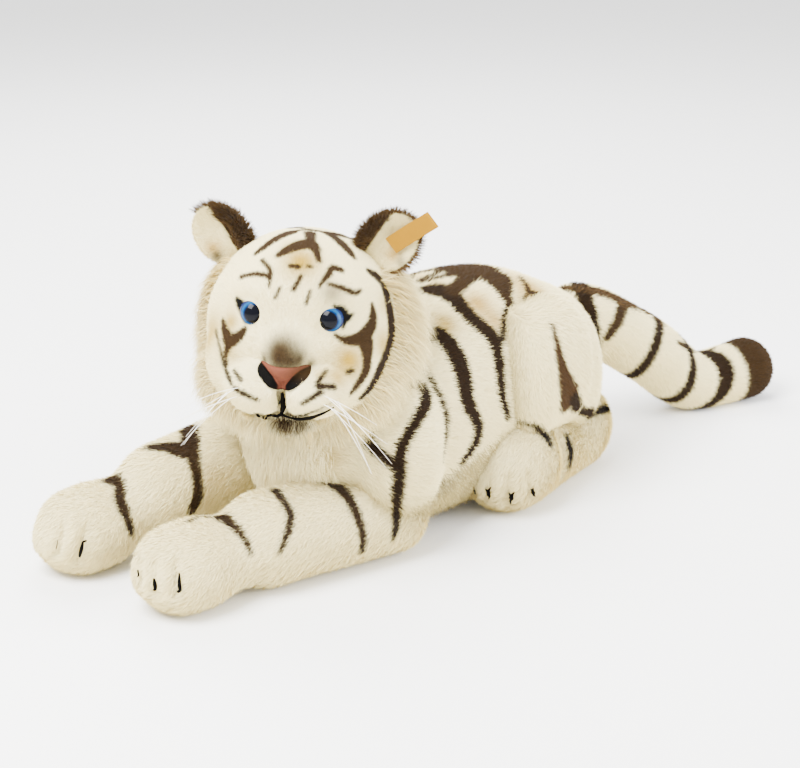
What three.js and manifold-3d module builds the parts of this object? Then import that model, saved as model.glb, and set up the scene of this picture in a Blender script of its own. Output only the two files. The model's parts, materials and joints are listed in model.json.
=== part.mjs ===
// A lying plush tiger, as an assembly of sewn covers, stuffings and trim.
// Millimetres, +Z up. The tiger faces -Y and its own left side is +X.
import * as THREE from 'three';
import { mergeVertices } from 'three/addons/utils/BufferGeometryUtils.js';
import Module from 'manifold-3d';

const wasm = await Module();
wasm.setup();

// Cloth, clearances and cutting
const coverThickness = 3; // plush backing with the root of its pile
const fitGap = 0.3; // between pieces that touch
const turnGap = 0.4; // round a piece that turns in a seat
const floorCut = 0.5; // depth of the flat where a stuffed piece rests
const overrun = 400; // how far a cutting block runs past what it cuts
const stuffingHoleRadius = 14; // hole left in each cover for turning and stuffing
const neckHoleRadius = 28;
const weldGap = 1e-4; // points closer than this are one point

// Torso
const bodyLength = 338;
const bodyWidth = 152;
const bodyHeight = 166;
const chestY = -146; // front of the chest
const beltHeight = 42; // seam between the back cover and the belly panel
const bodyAlongShares = [0, 0.13, 0.3, 0.46, 0.62, 0.76, 0.9, 1];
const bodyWidthShares = [0.62, 0.82, 0.97, 0.95, 0.92, 0.9, 0.78, 0.56];
const bodyTopShares = [0.62, 0.86, 1.01, 1.04, 1, 0.9, 0.77, 0.65];
const bodyFootShares = [0.03, 0, 0, 0, 0, 0, 0.03, 0.2];
const bodyDomeShare = 0.15; // of the length, at each end
const bodyFullnessShare = 1.1; // 1 is an ellipse, more is squarer
const shoulderWidth = 64;
const shoulderDepth = 78;
const shoulderHeight = 124;
const shoulderOut = 46; // from the centre plane
const leftShoulderBack = 88; // behind the chest front
const rightShoulderBack = 60;
const shoulderUp = 70;

// Head, turned to the tiger's left
const headRadius = 71;
const headForward = 36; // head centre behind the chest front
const headUp = 163;
const headYaw = 39; // degrees
const headRoll = 3;
const muzzleWidth = 80;
const muzzleHeight = 60;
const muzzleLength = 90; // from the head centre to the tip of the muzzle
const muzzleDrop = 21; // below the head centre
const muzzleDomeShare = 0.28;
const muzzleStartShare = 0.35; // of the head's radius, before its centre
const ruffThickness = 8.5;
const ruffFront = 24; // before the head centre
const ruffTop = 20; // above the head centre
const ruffSlope = 25; // degrees, falling toward the nape
const neckHoleShare = 0.3; // of the head's radius, from its centre

// Eyes, nose and whiskers
const eyeRadius = 9.5;
const eyeOut = 25.5;
const eyeUp = 28;
const eyeProud = 5; // of the eye in front of the cover
const shankRadius = 2.4;
const shankLength = 13;
const washerRadius = 8;
const washerThickness = 2;
const noseWidth = 40;
const noseHeight = 14;
const noseThickness = 2.2;
const noseDrop = 1; // top edge below the head centre
const whiskerRadius = 0.5;
const whiskerLength = 62;
const whiskerOut = 31;
const whiskerForward = 64;
const whiskerDown = 24;
const whiskerKnotRadius = 3;
const whiskerSag = 10;
const whiskerCount = 4;
const whiskerFan = 15; // degrees between strands
const whiskerSplay = 0.25; // forward, for each unit outward
const whiskerEase = 0.6; // round a strand in its hole
const whiskerPocketRadius = 11; // hollow in the stuffing round the knot

// Ears
const earWidth = 39;
const earHeight = 46;
const earThickness = 3.2; // of each of the two layers
const earRootRadius = 5;
const earCup = 7; // hollow of the ear's front
const earAngle = 41; // degrees from straight up
const earBack = 4; // behind the head centre
const earSink = 2.6; // of the root's line below the head's surface
const earLift = 1.6; // of the ear's lower edge over the head, so that it can fold
const earRootShare = 0.86; // of the ear's width

// Folded ribbon in the seam of the left ear
const ribbonWidth = 12.5;
const ribbonLength = 39;
const ribbonThickness = 0.6;
const ribbonFold = 0.7; // gap inside the fold
const ribbonTurn = 81; // degrees, from the root line of the ear
const ribbonLean = 17; // degrees, forward over the cupped rim
const ribbonUpShare = 0.44; // of the ear's height
const ribbonClearance = 1; // in front of the lining

// Forelegs
const elbowOut = 49;
const leftElbowBack = 72; // behind the chest front
const rightElbowBack = 58;
const leftElbowRise = 0; // above lying flat on the floor
const rightElbowRise = 24;
const elbowRadius = 34;
const forelegReach = 204; // from the elbow to the tip of the paw
const wristRadius = 29;
const pawWidth = 66;
const pawHeight = 62;
const pawDomeShare = 0.42; // of the paw's height
const forelegHeading = 11; // degrees, both toward the tiger's right
const forelegLift = 12; // degrees of travel

// Hind legs
const thighWidth = 68;
const thighLength = 138;
const thighHeight = 130;
const thighOut = 50;
const thighInset = 110; // middle, before the end of the rump
const thighUp = 90;
const thighTiltAngle = 20; // degrees, top leaning forward
const hindFootLength = 184;
const hindFootWidth = 62;
const hindFootHeight = 62;
const hindFootOut = 64;
const hindFootInset = 186; // toe tips, before the end of the rump
const hindFootToeIn = 6; // degrees
const toeDomeShare = 0.42; // of the foot's height
const heelDomeShare = 0.45;

// Tail
const tailRadius = 27;
const tailRootInset = 18; // before the end of the rump
const tailRootUp = 110;
const tailRootRadius = 26;
const tailReach = 240; // along Y
const tailBend = 46; // sideways at the tip
const tailTurn = 12; // degrees either way
const tailRootDomeShare = 0.8; // of the tail's radius
const tailTipDomeShare = 0.9;

// Facets, and rings along each loft
const roundSides = 16;
const bodySides = 24;
const innerSides = 12;
const innerBodySides = 14;
const shoulderSidesShare = 0.67; // of the trunk's sides
const ballSides = 22;
const ballRingsShare = 0.6; // of an ellipsoid's sides
const muzzleFewerSides = 4; // than the ball of the head
const eyeSides = 14;
const washerSides = 12;
const earSides = 16;
const smallSides = 8;
const knotSides = 6;
const strandSides = 4;
const bodyRings = 14;
const innerRings = 8;
const seatLegRings = 7;
const seatTailRings = 9;
const forelegRings = 12;
const hindFootRings = 10;
const muzzleRings = 10;
const earRings = 3;
const tailRings = 15;
const innerTailRings = 11;
const strandSteps = 4;
const curveSteps = 4;

const white = 0xf3efe6;
const cream = 0xe9dcc0;
const sable = 0x54483d;
const fibre = 0xf7f7f4;
const eyeBlue = 0x3f86c4;
const washerWhite = 0xf0f0ee;
const whiskerWhite = 0xfaf8ef;
const nosePink = 0xd9a09a;
const ribbonYellow = 0xe8c534;
const plushRoughness = 0.95;
const clothRoughness = 0.8;
const nylonRoughness = 0.35;
const plasticRoughness = 0.4;
const glossRoughness = 0.08;

const radians = THREE.MathUtils.degToRad;
const vector = (x, y, z) => new THREE.Vector3(x, y, z);
const zAxis = vector(0, 0, 1);

const headPlace = vector(0, chestY + headForward, headUp);
const elbowHeight = elbowRadius;

// Solids and cuts

function solidOf(geometry) {
  const bare = geometry.clone();
  for (const name of Object.keys(bare.attributes)) {
    if (name !== 'position') bare.deleteAttribute(name);
  }
  const merged = mergeVertices(bare, weldGap);
  return new wasm.Manifold(new wasm.Mesh({
    numProp: 3,
    vertProperties: Float32Array.from(merged.attributes.position.array),
    triVerts: Uint32Array.from(merged.index.array),
  }));
}

function largestBody(solid) {
  const bodies = solid.decompose();
  bodies.sort((a, b) => b.volume() - a.volume());
  return bodies[0];
}

function geometryOf(solid) {
  const mesh = largestBody(solid).getMesh();
  const geometry = new THREE.BufferGeometry();
  geometry.setAttribute('position', new THREE.BufferAttribute(mesh.vertProperties, 3));
  geometry.setIndex(new THREE.BufferAttribute(mesh.triVerts, 1));
  geometry.computeVertexNormals();
  return geometry;
}

function piece(name, solid, color, roughness = plushRoughness) {
  const material = new THREE.MeshStandardMaterial({ color, roughness, metalness: 0 });
  const mesh = new THREE.Mesh(geometryOf(solid), material);
  mesh.name = name;
  return mesh;
}

// A closed loft: elliptical rings square to a smooth spine, domed at both ends.
// halfSizes holds the half width and half height at each place of the spine.
function loft({ places, halfSizes, startDome, endDome, sides, rings, inset = 0, fullness = 1 }) {
  const spine = new THREE.CatmullRomCurve3(places);
  const sizes = new THREE.SplineCurve(halfSizes);
  const length = spine.getLength();
  const domeRings = Math.max(2, Math.round(rings / 4));
  const stops = [];
  for (let i = 1; i <= domeRings; i += 1) {
    const turn = (i / domeRings) * (Math.PI / 2);
    const depth = inset + (startDome - inset) * (1 - Math.cos(turn));
    stops.push({ at: depth, swell: Math.sin(turn) });
  }
  const plainRings = rings - 2 * domeRings;
  const plainLength = length - startDome - endDome;
  for (let i = 1; i <= plainRings; i += 1) {
    stops.push({ at: startDome + (plainLength * i) / (plainRings + 1), swell: 1 });
  }
  for (let i = domeRings; i >= 1; i -= 1) {
    const turn = (i / domeRings) * (Math.PI / 2);
    const depth = inset + (endDome - inset) * (1 - Math.cos(turn));
    stops.push({ at: length - depth, swell: Math.sin(turn) });
  }
  const points = [];
  const pushPoint = (p) => points.push(p.x, p.y, p.z);
  const paramAt = (distance) => spine.getUtoTmapping(THREE.MathUtils.clamp(distance / length, 0, 1));
  const beyond = (distance) => {
    const point = spine.getPoint(paramAt(distance));
    const over = distance < 0 ? distance : Math.max(0, distance - length);
    return point.addScaledVector(spine.getTangent(paramAt(distance)), over);
  };
  pushPoint(beyond(inset));
  for (const stop of stops) {
    const t = paramAt(stop.at);
    const centre = beyond(stop.at);
    const tangent = spine.getTangent(t);
    const side = vector(0, 0, 0).crossVectors(tangent, zAxis).normalize();
    const rise = vector(0, 0, 0).crossVectors(side, tangent);
    const size = sizes.getPoint(t);
    for (let i = 0; i < sides; i += 1) {
      const angle = (i / sides) * Math.PI * 2;
      const across = Math.sign(Math.cos(angle)) * Math.abs(Math.cos(angle)) ** (1 / fullness);
      const up = Math.sign(Math.sin(angle)) * Math.abs(Math.sin(angle)) ** (1 / fullness);
      pushPoint(centre.clone()
        .addScaledVector(side, across * (size.x - inset) * stop.swell)
        .addScaledVector(rise, up * (size.y - inset) * stop.swell));
    }
  }
  pushPoint(beyond(length - inset));
  const last = points.length / 3 - 1;
  const faces = [];
  for (let i = 0; i < sides; i += 1) {
    const next = (i + 1) % sides;
    faces.push(0, 1 + i, 1 + next);
    for (let ring = 0; ring < stops.length - 1; ring += 1) {
      const here = 1 + ring * sides;
      const there = here + sides;
      faces.push(here + i, there + i, there + next, here + i, there + next, here + next);
    }
    const end = 1 + (stops.length - 1) * sides;
    faces.push(end + i, last, end + next);
  }
  const geometry = new THREE.BufferGeometry();
  geometry.setAttribute('position', new THREE.Float32BufferAttribute(points, 3));
  geometry.setIndex(faces);
  return geometry;
}

function ball(radius, place = vector(0, 0, 0), sides = ballSides) {
  const geometry = new THREE.SphereGeometry(radius, sides, Math.round(sides / 2));
  geometry.rotateX(Math.PI / 2);
  return solidOf(geometry.translate(place.x, place.y, place.z));
}

// How far the flats of a round of this many sides lie inside its radius.
function flatDepth(radius, sides) {
  return radius * (1 - Math.cos(Math.PI / sides));
}

// A cutting ball, grown until its flats clear the radius.
function ballRoom(radius, place, sides = ballSides) {
  return ball(radius + 2 * flatDepth(radius, sides), place, sides);
}

function ellipsoid(width, depth, height, sides, inset = 0) {
  const geometry = new THREE.SphereGeometry(1, sides, Math.round(sides * ballRingsShare));
  geometry.rotateX(Math.PI / 2);
  return geometry.scale(width / 2 - inset, depth / 2 - inset, height / 2 - inset);
}

function block(low, high) {
  const geometry = new THREE.BoxGeometry(high.x - low.x, high.y - low.y, high.z - low.z);
  geometry.translate((low.x + high.x) / 2, (low.y + high.y) / 2, (low.z + high.z) / 2);
  return solidOf(geometry);
}

function rod(radius, from, to, sides = smallSides) {
  const path = new THREE.Vector3().subVectors(to, from);
  const geometry = new THREE.CylinderGeometry(radius, radius, path.length(), sides);
  const turn = new THREE.Quaternion().setFromUnitVectors(vector(0, 1, 0), path.clone().normalize());
  geometry.applyQuaternion(turn);
  const middle = from.clone().add(to).multiplyScalar(0.5);
  return solidOf(geometry.translate(middle.x, middle.y, middle.z));
}

function below(height) {
  return block(vector(-overrun, -overrun, height - overrun), vector(overrun, overrun, height));
}

function matrixOf(place, yaw = 0, roll = 0) {
  const turn = new THREE.Matrix4().makeRotationZ(radians(yaw));
  turn.multiply(new THREE.Matrix4().makeRotationY(radians(roll)));
  return turn.setPosition(place);
}

// Turns a geometry about an axis through a point.
function turned(geometry, axis, point, degrees) {
  const matrix = new THREE.Matrix4().makeTranslation(point.x, point.y, point.z);
  matrix.multiply(new THREE.Matrix4().makeRotationAxis(axis, radians(degrees)));
  matrix.multiply(new THREE.Matrix4().makeTranslation(-point.x, -point.y, -point.z));
  return geometry.clone().applyMatrix4(matrix);
}

// Torso

function torsoShape(inset, sides, rings) {
  const places = bodyAlongShares.map((share, i) => {
    const middle = (bodyTopShares[i] + bodyFootShares[i]) / 2;
    return vector(0, chestY + share * bodyLength, middle * bodyHeight - floorCut);
  });
  const halfSizes = bodyAlongShares.map((share, i) => new THREE.Vector2(
    (bodyWidthShares[i] * bodyWidth) / 2,
    ((bodyTopShares[i] - bodyFootShares[i]) * bodyHeight) / 2,
  ));
  const dome = bodyDomeShare * bodyLength;
  const trunk = solidOf(loft({
    places, halfSizes, startDome: dome, endDome: dome, sides, rings, inset, fullness: bodyFullnessShare,
  }));
  const shoulders = [-1, 1].map((side) => {
    const fewer = Math.round(sides * shoulderSidesShare);
    const geometry = ellipsoid(shoulderWidth, shoulderDepth, shoulderHeight, fewer, inset);
    const back = side > 0 ? leftShoulderBack : rightShoulderBack;
    return solidOf(geometry.translate(side * shoulderOut, chestY + back, shoulderUp));
  });
  return trunk.add(shoulders[0]).add(shoulders[1]);
}

// Everything that turns in the torso or is let into it, with its clearance.
function torsoSeats(sides, turnShares, gap) {
  const seatRadius = headRadius + fitGap + ruffThickness + fitGap;
  let seats = ballRoom(seatRadius, headPlace);
  for (const side of [-1, 1]) {
    const elbow = elbowPlace(side);
    seats = seats.add(ballRoom(elbowRadius + gap, elbow, sides));
    for (const share of turnShares) {
      const leg = forelegShape(side, -gap - flatDepth(elbowRadius, sides), sides, seatLegRings);
      leg.applyMatrix4(matrixOf(elbow, -forelegHeading));
      const lift = (forelegLift * (share + 1)) / 2;
      seats = seats.add(solidOf(turned(leg, vector(-1, 0, 0), elbow, lift)));
    }
  }
  const root = tailRoot();
  seats = seats.add(ballRoom(tailRootRadius + gap, root, sides));
  for (const share of turnShares) {
    const tail = tailShape(-gap - flatDepth(tailRadius, sides), sides, seatTailRings);
    tail.translate(root.x, root.y, root.z);
    seats = seats.add(solidOf(turned(tail, zAxis, root, tailTurn * share)));
  }
  return seats;
}

function torso() {
  const seats = torsoSeats(roundSides, [-1, 0, 1], turnGap);
  const innerSeats = torsoSeats(innerSides, [-1, 1], 2 * turnGap);
  const outer = torsoShape(0, bodySides, bodyRings);
  const inner = torsoShape(coverThickness, innerBodySides, innerRings);
  const core = torsoShape(coverThickness + fitGap, innerBodySides, innerRings);
  const skin = outer.subtract(inner).subtract(seats).subtract(below(0));
  const seam = block(
    vector(-overrun, -overrun, beltHeight - fitGap / 2),
    vector(overrun, overrun, beltHeight + fitGap / 2),
  );
  const back = skin.subtract(below(beltHeight)).subtract(seam);
  const belly = skin.intersect(below(beltHeight)).subtract(seam);
  const stuffing = core.subtract(innerSeats).subtract(below(coverThickness + fitGap));
  return [
    piece('back_cover', back, white),
    piece('belly_panel', belly, cream),
    piece('torso_stuffing', stuffing, fibre),
  ];
}

// Forelegs, in the leg's own frame: elbow at the origin, paw along -Y

function elbowRise(side) {
  return side > 0 ? leftElbowRise : rightElbowRise;
}

function elbowPlace(side) {
  const back = side > 0 ? leftElbowBack : rightElbowBack;
  return vector(side * elbowOut, chestY + back, elbowHeight + elbowRise(side));
}

function forelegShape(side, inset, sides, rings) {
  const alongShares = [0, 0.22, 0.45, 0.64, 0.84, 1];
  const wristShares = [0, 0.2, 0.8, 1, 0, 0]; // of the step from the elbow's centre to the wrist's
  const pawShares = [0, 0, 0, 0, 1, 1.3]; // of the step from the elbow's centre to the paw's
  const sinkShares = [0, 0.1, 0.42, 0.8, 1.02, 1]; // of the elbow's rise
  const wristStep = wristRadius - elbowRadius;
  const pawStep = pawHeight / 2 - elbowRadius;
  const ends = alongShares.map((share, i) => {
    const up = wristShares[i] * wristStep + pawShares[i] * pawStep - sinkShares[i] * elbowRise(side);
    return vector(0, -share * forelegReach, up - floorCut);
  });
  const upper = [elbowRadius, elbowRadius];
  const wrist = [wristRadius, wristRadius];
  const paw = [pawWidth / 2, pawHeight / 2];
  const stations = [upper, upper, upper, wrist, wrist, paw, paw];
  const widthShares = [1, 1, 0.96, 1.06, 1, 1, 0.84];
  const heightShares = [1, 1, 0.98, 1.04, 1, 1, 0.84];
  return loft({
    places: [vector(0, elbowRadius, -floorCut), ...ends],
    halfSizes: stations.map(([w, h], i) => new THREE.Vector2(w * widthShares[i], h * heightShares[i])),
    startDome: elbowRadius,
    endDome: pawHeight * pawDomeShare,
    sides,
    rings,
    inset,
  });
}

function foreleg(side) {
  const name = side > 0 ? 'left' : 'right';
  const outer = solidOf(forelegShape(side, 0, roundSides, forelegRings));
  const inner = solidOf(forelegShape(side, coverThickness, innerSides, innerRings));
  const core = solidOf(forelegShape(side, coverThickness + fitGap, innerSides, innerRings));
  const inward = vector(-side, 1, 0).multiplyScalar(2 * elbowRadius);
  const hole = rod(stuffingHoleRadius, vector(0, 0, 0), inward);
  const rest = -elbowHeight - elbowRise(side);
  const floor = below(rest);
  const floorInside = below(rest + coverThickness + fitGap);
  const group = new THREE.Group();
  group.add(piece(`foreleg_${name}_cover`, outer.subtract(inner).subtract(hole).subtract(floor), white));
  group.add(piece(`foreleg_${name}_stuffing`, core.subtract(floorInside), fibre));
  group.position.copy(elbowPlace(side));
  group.rotation.z = radians(-forelegHeading);
  return group;
}

// Hind legs: a flat round thigh on the flank and a foot under it

function thighShape(side, inset, sides) {
  const geometry = ellipsoid(thighWidth, thighLength, thighHeight, sides, inset);
  geometry.rotateX(radians(thighTiltAngle));
  return solidOf(geometry.translate(side * thighOut, chestY + bodyLength - thighInset, thighUp));
}

function hindFootShape(side, inset, sides, rings) {
  const alongShares = [0, 0.22, 0.5, 0.8, 1];
  const widthShares = [0.78, 1, 0.86, 0.84, 0.7];
  const heightShares = [0.76, 1, 0.9, 0.96, 0.8];
  const geometry = loft({
    places: alongShares.map((share, i) => vector(
      0,
      share * hindFootLength,
      (heightShares[i] * hindFootHeight) / 2 - floorCut,
    )),
    halfSizes: alongShares.map((share, i) => new THREE.Vector2(
      (widthShares[i] * hindFootWidth) / 2,
      (heightShares[i] * hindFootHeight) / 2,
    )),
    startDome: hindFootHeight * toeDomeShare,
    endDome: hindFootHeight * heelDomeShare,
    sides,
    rings,
    inset,
  });
  geometry.rotateZ(radians(side * hindFootToeIn));
  return solidOf(geometry.translate(side * hindFootOut, chestY + bodyLength - hindFootInset, 0));
}

function hindLeg(side) {
  const name = side > 0 ? 'left' : 'right';
  const torsoRoom = torsoShape(-fitGap, bodySides, bodyRings);
  const thighOuter = thighShape(side, 0, roundSides).subtract(torsoRoom);
  const thighInner = thighShape(side, coverThickness, innerSides);
  const thighCore = thighShape(side, coverThickness + fitGap, innerSides).subtract(torsoRoom);
  const thighRoom = thighShape(side, -fitGap, roundSides);
  const footOuter = hindFootShape(side, 0, roundSides, hindFootRings);
  const footInner = hindFootShape(side, coverThickness, innerSides, innerRings);
  const footCore = hindFootShape(side, coverThickness + fitGap, innerSides, innerRings);
  const footCover = footOuter.subtract(footInner).subtract(torsoRoom).subtract(thighRoom);
  const floorInside = below(coverThickness + fitGap);
  return [
    piece(`thigh_${name}_cover`, thighOuter.subtract(thighInner), white),
    piece(`thigh_${name}_stuffing`, thighCore, fibre),
    piece(`hind_foot_${name}_cover`, footCover.subtract(below(0)), white),
    piece(
      `hind_foot_${name}_stuffing`,
      footCore.subtract(torsoRoom).subtract(thighRoom).subtract(floorInside),
      fibre,
    ),
  ];
}

// Tail, in its own frame: root at the origin, falling to the floor along +Y

function tailRoot() {
  return vector(0, chestY + bodyLength - tailRootInset, tailRootUp);
}

function tailShape(inset, sides, rings) {
  const alongShares = [-0.06, 0, 0.12, 0.24, 0.42, 0.62, 0.8, 1];
  const dropShares = [0, 0.02, 0.14, 0.34, 0.66, 0.99, 1, 0.98];
  const bendShares = [0, 0, 0.05, 0.12, 0.28, 0.5, 0.75, 1];
  const sizeShares = [0.94, 0.965, 0.94, 0.94, 0.97, 1, 1.03, 0.98];
  const drop = tailRootUp - tailRadius;
  return loft({
    places: alongShares.map((share, i) => vector(
      bendShares[i] * tailBend,
      share * tailReach,
      -dropShares[i] * drop - floorCut,
    )),
    halfSizes: sizeShares.map((share) => new THREE.Vector2(share * tailRadius, share * tailRadius)),
    startDome: tailRadius * tailRootDomeShare,
    endDome: tailRadius * tailTipDomeShare,
    sides,
    rings,
    inset,
  });
}

function tail() {
  const outer = solidOf(tailShape(0, roundSides, tailRings));
  const inner = solidOf(tailShape(coverThickness, innerSides, innerTailRings));
  const core = solidOf(tailShape(coverThickness + fitGap, innerSides, innerTailRings));
  const hole = rod(stuffingHoleRadius, vector(0, 0, 0), vector(0, -2 * tailRadius, 0));
  const floor = below(-tailRootUp);
  const group = new THREE.Group();
  group.add(piece('tail_cover', outer.subtract(inner).subtract(hole).subtract(floor), white));
  const floorInside = below(-tailRootUp + coverThickness + fitGap);
  group.add(piece('tail_stuffing', core.subtract(floorInside), fibre));
  group.position.copy(tailRoot());
  return group;
}

// Head, in its own frame: centre at the origin, face along -Y

function muzzleShape(inset, sides) {
  const start = -headRadius * muzzleStartShare;
  const stretch = muzzleLength + start;
  const alongShares = [0, 0.4, 0.75, 1];
  const startDomeShare = 0.1;
  const widthShares = [0.9, 1, 0.92, 0.8];
  const heightShares = [0.95, 1, 0.92, 0.8];
  return solidOf(loft({
    places: alongShares.map((share) => vector(0, start - share * stretch, -muzzleDrop)),
    halfSizes: alongShares.map((share, i) => new THREE.Vector2(
      (widthShares[i] * muzzleWidth) / 2,
      (heightShares[i] * muzzleHeight) / 2,
    )),
    startDome: muzzleLength * startDomeShare,
    endDome: muzzleLength * muzzleDomeShare,
    sides,
    rings: muzzleRings,
    inset,
  }));
}

function headShape(inset, sides) {
  return ball(headRadius - inset, vector(0, 0, 0), sides).add(muzzleShape(inset, sides - muzzleFewerSides));
}

function neckRuff() {
  const shell = ball(headRadius + fitGap + ruffThickness)
    .subtract(ball(headRadius + fitGap));
  const above = new THREE.BoxGeometry(2 * overrun, 2 * overrun, overrun);
  above.translate(0, 0, ruffTop + overrun / 2);
  above.rotateX(-radians(ruffSlope));
  const before = block(vector(-overrun, -overrun, -overrun), vector(overrun, -ruffFront, overrun));
  const ruff = shell.subtract(solidOf(above)).subtract(before);
  return piece('neck_ruff', ruff.subtract(muzzleShape(-fitGap, ballSides - muzzleFewerSides)), cream);
}

// A domed eye on a shank, held inside the cover by a push-on washer
function eyePlace(side) {
  const reach = headRadius + eyeProud - eyeRadius;
  const forward = Math.sqrt(reach ** 2 - eyeOut ** 2 - eyeUp ** 2);
  return vector(side * eyeOut, -forward, eyeUp);
}

function eyeSolid(side, gap) {
  const centre = eyePlace(side);
  const inwards = centre.clone().multiplyScalar((centre.length() - shankLength) / centre.length());
  return ball(eyeRadius + gap, centre, eyeSides).add(rod(shankRadius + gap, centre, inwards));
}

function washerSolid(side, gap) {
  const centre = eyePlace(side);
  const behind = (depth) => centre.clone().multiplyScalar((centre.length() - depth) / centre.length());
  const near = eyeRadius + 2 * fitGap - gap;
  return rod(washerRadius + gap, behind(near), behind(near + washerThickness + 2 * gap), washerSides);
}

// A rounded triangle sewn on the front of the muzzle
function nose() {
  const outline = new THREE.Shape();
  const half = noseWidth / 2;
  const topShare = 0.8;
  const cornerShare = 0.12;
  const swellAcrossShare = 0.6;
  const swellDownShare = 0.7;
  const corner = -noseHeight * cornerShare;
  const swell = half * swellAcrossShare;
  const swellDown = -noseHeight * swellDownShare;
  outline.moveTo(-half, corner);
  outline.quadraticCurveTo(-half, 0, -half * topShare, 0);
  outline.lineTo(half * topShare, 0);
  outline.quadraticCurveTo(half, 0, half, corner);
  outline.quadraticCurveTo(swell, swellDown, 0, -noseHeight);
  outline.quadraticCurveTo(-swell, swellDown, -half, corner);
  const geometry = new THREE.ExtrudeGeometry(outline, {
    depth: muzzleLength, bevelEnabled: false, curveSegments: curveSteps,
  });
  geometry.rotateX(Math.PI / 2);
  const prism = solidOf(geometry.translate(0, -headRadius, -noseDrop));
  const pad = muzzleShape(-fitGap - noseThickness, roundSides).subtract(headShape(-fitGap, ballSides));
  return piece('nose', prism.intersect(pad), nosePink, clothRoughness);
}

// Stiff strands from a knot behind the cheek
function whiskerKnot(side) {
  return vector(side * whiskerOut, -whiskerForward, -whiskerDown);
}

function whiskerAims(side) {
  return Array.from({ length: whiskerCount }, (_, i) => {
    const slope = radians(whiskerFan * (i - (whiskerCount - 1) / 2) - whiskerFan);
    return vector(side * Math.cos(slope), -whiskerSplay, Math.sin(slope)).normalize();
  });
}

function whiskers(side) {
  const knot = whiskerKnot(side);
  let strands = ball(whiskerKnotRadius, knot, knotSides);
  for (const aim of whiskerAims(side)) {
    const middle = knot.clone().addScaledVector(aim, whiskerLength / 2);
    const tip = knot.clone().addScaledVector(aim, whiskerLength);
    tip.z -= whiskerSag;
    const section = new THREE.Shape();
    section.absarc(0, 0, whiskerRadius, 0, Math.PI * 2);
    const strand = new THREE.ExtrudeGeometry(section, {
      steps: strandSteps,
      curveSegments: strandSides / 2,
      extrudePath: new THREE.QuadraticBezierCurve3(knot, middle, tip),
    });
    strands = strands.add(solidOf(strand));
  }
  return strands;
}

// Holes through the cover, one for each strand, straight to where it is halfway along its curve
function whiskerHoles(side) {
  const knot = whiskerKnot(side);
  let holes = ball(whiskerKnotRadius + fitGap, knot, knotSides);
  for (const aim of whiskerAims(side)) {
    const out = knot.clone().addScaledVector(aim, whiskerLength / 2);
    out.z -= whiskerSag / 4;
    holes = holes.add(rod(whiskerRadius + whiskerEase, knot, out, strandSides));
  }
  return holes;
}

// One cupped layer of an ear, in the ear's own frame: root along X, hollow facing -Y
function earLayer(near, far) {
  const half = earWidth / 2;
  const rise = earHeight / 2;
  const points = [];
  const pushRings = (depth) => {
    for (let ring = 1; ring <= earRings; ring += 1) {
      for (let i = 0; i < earSides; i += 1) {
        const angle = (i / earSides) * Math.PI * 2;
        const across = (ring / earRings) * Math.cos(angle);
        const up = (ring / earRings) * Math.sin(angle);
        const cup = earCup * (across ** 2 + Math.max(0, up) ** 2);
        points.push(across * half, depth - cup, rise + up * rise);
      }
    }
  };
  points.push(0, near, rise);
  pushRings(near);
  points.push(0, far, rise);
  pushRings(far);
  const faces = [];
  const behind = points.length / 6;
  for (let i = 0; i < earSides; i += 1) {
    const next = (i + 1) % earSides;
    faces.push(0, 1 + i, 1 + next, behind, behind + 1 + next, behind + 1 + i);
    for (let ring = 0; ring < earRings - 1; ring += 1) {
      const here = 1 + ring * earSides;
      const there = here + earSides;
      faces.push(here + i, there + i, there + next, here + i, there + next, here + next);
      faces.push(behind + here + i, behind + there + next, behind + there + i);
      faces.push(behind + here + i, behind + here + next, behind + there + next);
    }
    const rim = 1 + (earRings - 1) * earSides;
    faces.push(rim + i, behind + rim + i, behind + rim + next);
    faces.push(rim + i, behind + rim + next, rim + next);
  }
  const geometry = new THREE.BufferGeometry();
  geometry.setAttribute('position', new THREE.Float32BufferAttribute(points, 3));
  geometry.setIndex(faces);
  return solidOf(geometry)
    .subtract(ballRoom(headRadius + earLift, vector(0, -earBack, -earReach())));
}

function ear(side) {
  const name = side > 0 ? 'left' : 'right';
  const group = new THREE.Group();
  const half = earWidth / 2;
  const rootEnd = vector(half * earRootShare, 0, 0);
  const root = rod(earRootRadius, rootEnd.clone().negate(), rootEnd, innerSides);
  const backLayer = earLayer(fitGap / 2, earThickness).add(root);
  const frontLayer = earLayer(-earThickness, -fitGap / 2)
    .subtract(rod(earRootRadius + fitGap, vector(-half, 0, 0), vector(half, 0, 0), innerSides));
  group.add(piece(`ear_${name}_back`, backLayer, sable));
  group.add(piece(`ear_${name}_lining`, frontLayer, white));
  group.position.copy(earPlace(side));
  group.rotation.y = radians(side * earAngle);
  if (side > 0) group.add(ribbon());
  return group;
}

function earReach() {
  return Math.sqrt(headRadius ** 2 - earBack ** 2) - earSink;
}

function earPlace(side) {
  const lean = radians(earAngle);
  return vector(side * Math.sin(lean) * earReach(), earBack, Math.cos(lean) * earReach());
}

function earRoom(side) {
  const along = vector(Math.cos(radians(side * earAngle)), 0, -Math.sin(radians(side * earAngle)));
  const centre = earPlace(side);
  const reach = (earWidth / 2) * earRootShare + turnGap;
  return rod(
    earRootRadius + turnGap,
    centre.clone().addScaledVector(along, -reach),
    centre.clone().addScaledVector(along, reach),
    innerSides,
  );
}

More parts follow.
